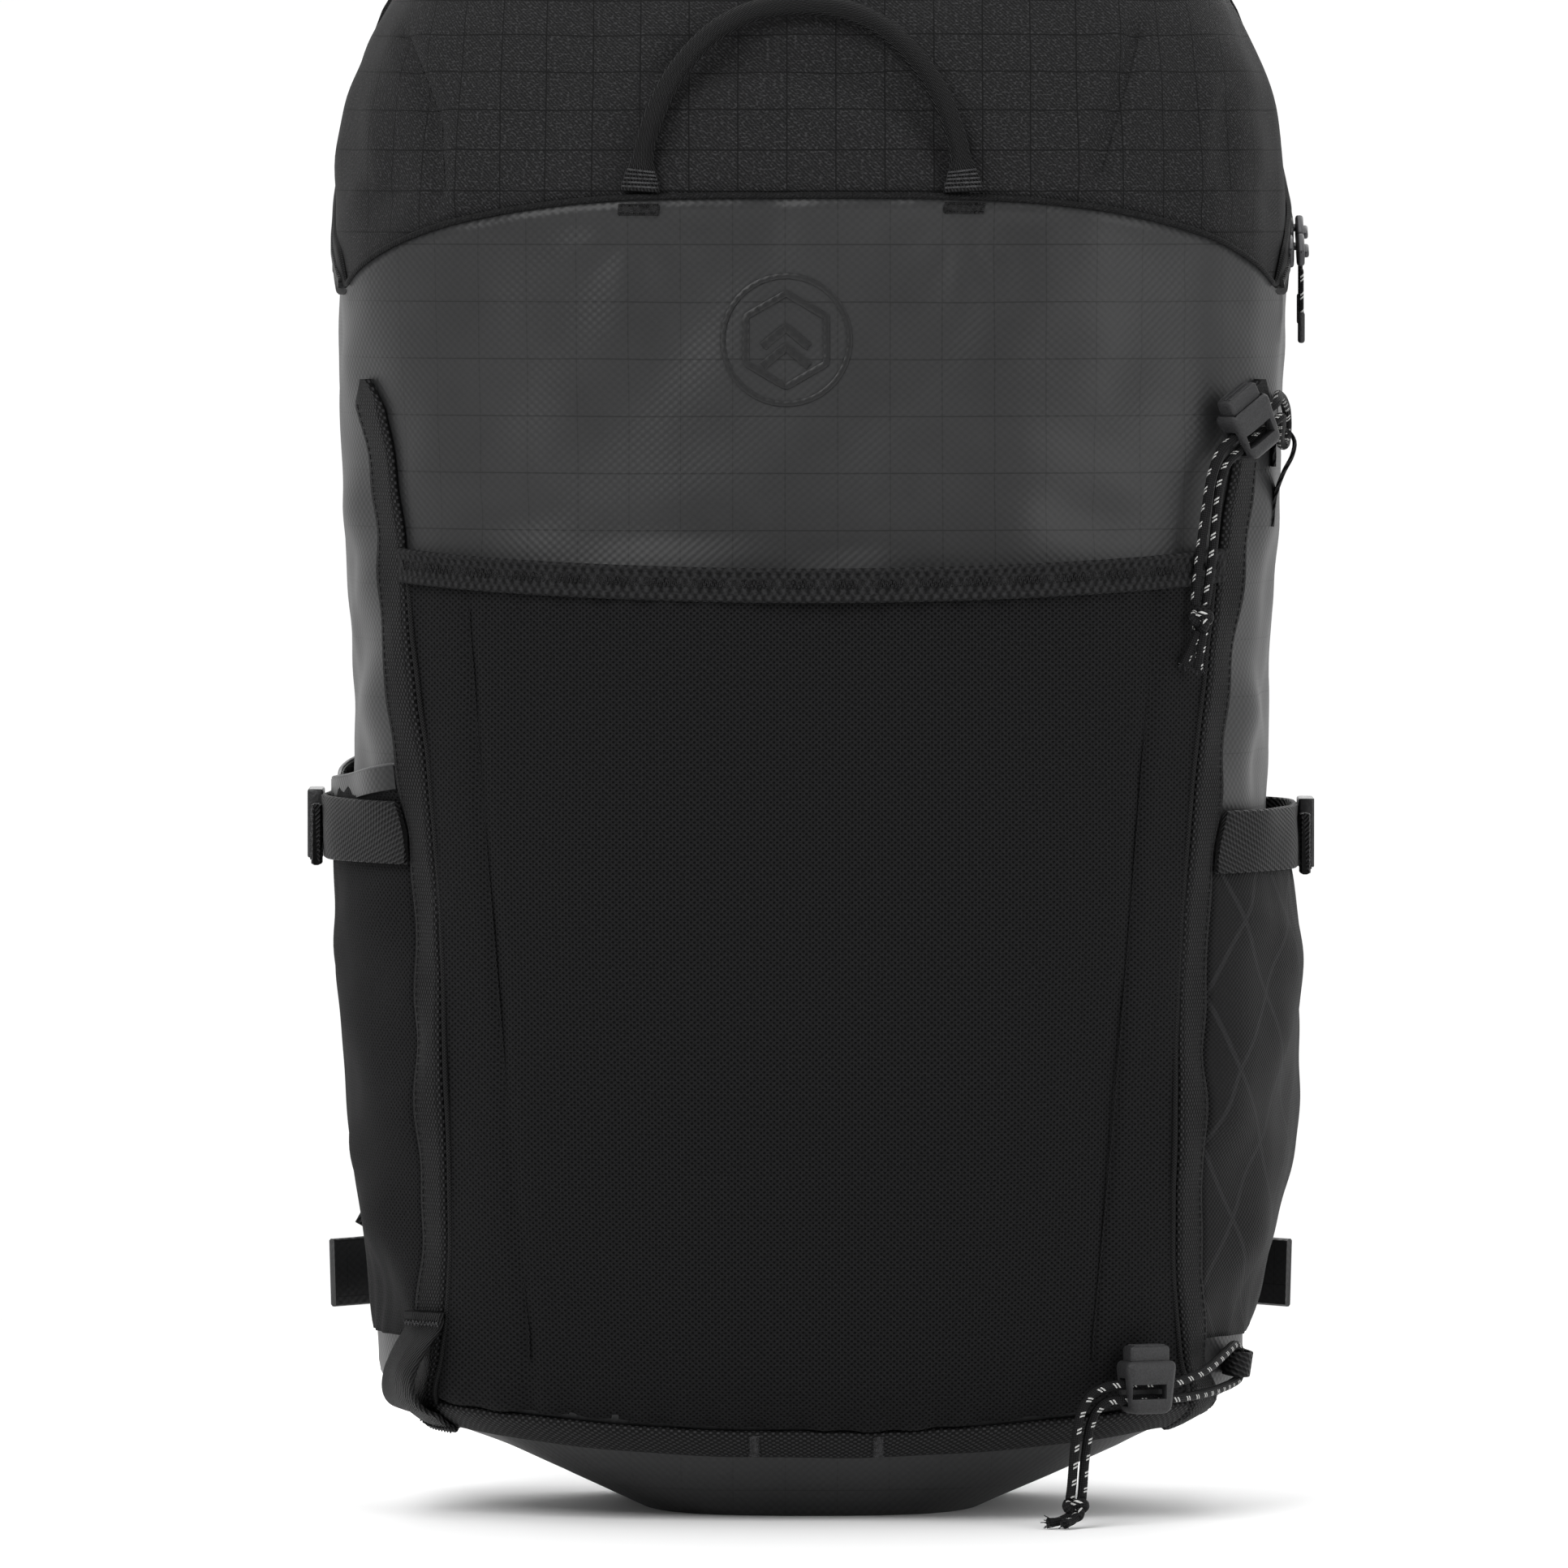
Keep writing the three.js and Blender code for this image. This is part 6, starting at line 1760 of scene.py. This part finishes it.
def shoulder_path(side):
    return [(side * x, y, z) for x, y, z in (
        (61, 79.2, 472), (61, 80.4, 461), (61, 99.7, 436), (64, 118.7, 394), (72, 126.1, 336),
        (82, 121.7, 271), (91, 110.7, 214), (99, 97.7, 168))]


class DAYPACK_OT_harness(bpy.types.Operator):
    """Shoulder straps, their webbing and adjusters, and the chest and hip straps."""

    bl_idname = "daypack.harness"
    bl_label = "Harness"

    def execute(self, context):
        for name, side in SIDES:
            node = f"shoulder_strap_{name}"
            pad = swell(cad_copy(node, f"Shoulder_strap_{name}"))
            dress(pad, "spacer", nodes=[node])
            line = spline(shoulder_path(side), 2.2)
            v = np.linspace(0, 1, len(line))
            width = 58 - 16 * np.clip((v - 0.55) / 0.45, 0, 1)
            t = tangents(line)
            flat = np.array([1.0, 0, 0]) - t * t[:, :1]
            flat /= np.linalg.norm(flat, axis=1, keepdims=True)
            edges = []
            for edge in (-1, 1):
                edges.append(cord_line("edge", line + flat * (width[:, None] / 2 - 0.2) * edge, 1.9, 8))
            dress(join(f"Strap_binding_{name}", edges), "binding")
            rail = line[10:-6] + np.cross(t, flat)[10:-6] * 6.4 * side_sign(t, flat)
            dress(tube(f"Daisy_webbing_{name}", strap_rings(rail, flat[10:-6], 18, 1.6), sharp=0.9),
                  "strap")
            lock = cad_copy(f"ladder_lock_{name}", f"Ladder_lock_{name}", 0.5)
            dress(lock, "glossy", nodes=[f"ladder_lock_{name}"])
            lower = strap(f"Lower_webbing_{name}",
                          [(side * 103.5, 92.9, 143), (side * 113, 91.7, 116), (side * 132, 77.7, 92),
                           (side * 139, 74.7, 80)], (1, 0, 0.45 * side), 20, 1.8)
            dress(lower, "strap", nodes=[f"lower_webbing_{name}"])
            tab = strap(f"Anchor_tab_{name}",
                        [(side * 97, 75.2, 73), (side * 112, 75.2, 73), (side * 129.6, 71.2, 71),
                         (side * 142.6, 64.2, 70), (side * 154.6, 56.2, 69.5)], (0, 0, 1), 22, 3.0)
            dress(tab, "coated_trim", nodes=[f"anchor_tab_{name}"])
            lifter = strap(f"Load_lifter_{name}",
                           [(side * 64, 126.3, 406), (side * 61, 116.7, 446), (side * 61, 98.7, 474),
                            (side * 61, 74.7, 482)], (1, 0, 0), 14, 1.8)
            dress(lifter, "strap", nodes=[f"load_lifter_{name}"])
        for strap_name, height, width, y0, y1, reach in (
            ("sternum", 344, 20, 132.85, 132.85, 66), ("hip", 86, 25, 88.55, 85.95, 80),
        ):
            for part, body in (("socket", "root"), ("plug", f"{strap_name}_plug")):
                node = f"{strap_name}_buckle_{part}"
                dress(cad_copy(node, node.capitalize(), 0.6), "moulded", body=body,
                      nodes=[node])
            for name, side in SIDES:
                start = -20.35 if side < 0 else 10.5
                points = [(start, y0, height), (side * 0.42 * reach, y0, height),
                          (side * 0.72 * reach, y0 + (y1 - y0) * 0.95, height), (side * reach, y1, height)]
                web = strap(f"{strap_name.capitalize()}_webbing_{name}", points, (0, 0, 1), width, 1.8)
                dress(web, "strap", body="root" if side < 0 else None,
                      nodes=[f"{strap_name}_webbing_{name}"])
                if side > 0:
                    sewn, free = (reach - 4, y1, height), (22, y0, height)
                    [c * MM for c in sewn]
                    [c * MM for c in free]
                    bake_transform(web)
        return {"FINISHED"}


def side_sign(t, flat):
    """Plus or minus one, so that a cross product points to the back."""
    return 1.0 if np.cross(t, flat)[len(t) // 2][1] > 0 else -1.0


class DAYPACK_PT_panel(bpy.types.Panel):
    """Settings and build steps of the daypack."""

    bl_idname = "DAYPACK_PT_panel"
    bl_label = "Daypack"
    bl_space_type = "VIEW_3D"
    bl_region_type = "UI"
    bl_category = "Daypack"

    def draw(self, context):
        layout = self.layout
        for title, group in (("Fabric", context.scene.daypack_fabric), ("Trim", context.scene.daypack_trim),
                             ("Stage", context.scene.daypack_stage)):
            box = layout.box()
            box.label(text=title)
            for key in group.__annotations__:
                box.prop(group, key)
        for step in STEPS:
            layout.operator(step.bl_idname)


GROUPS = (
    ("daypack_fabric", DaypackFabric),
    ("daypack_trim", DaypackTrim),
    ("daypack_stage", DaypackStage),
)
STEPS = (
    DAYPACK_OT_stage,
    DAYPACK_OT_pole_cords,
    DAYPACK_OT_cord_locks,
    DAYPACK_OT_body,
    DAYPACK_OT_lid,
    DAYPACK_OT_front_pocket,
    DAYPACK_OT_edge_webbing,
    DAYPACK_OT_carry_handle,
    DAYPACK_OT_emblem,
    DAYPACK_OT_zip,
    DAYPACK_OT_side_pockets,
    DAYPACK_OT_back,
    DAYPACK_OT_harness,
)


def register():
    for name, group in GROUPS:
        bpy.utils.register_class(group)
        setattr(bpy.types.Scene, name, bpy.props.PointerProperty(type=group))
    for cls in (*STEPS, DAYPACK_PT_panel):
        bpy.utils.register_class(cls)


def unregister():
    for cls in (DAYPACK_PT_panel, *reversed(STEPS)):
        bpy.utils.unregister_class(cls)
    for name, group in reversed(GROUPS):
        delattr(bpy.types.Scene, name)
        bpy.utils.unregister_class(group)


def main():
    register()
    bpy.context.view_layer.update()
    for step in STEPS:
        area, name = step.bl_idname.split(".")
        getattr(getattr(bpy.ops, area), name)()


if __name__ == "__main__":
    main()
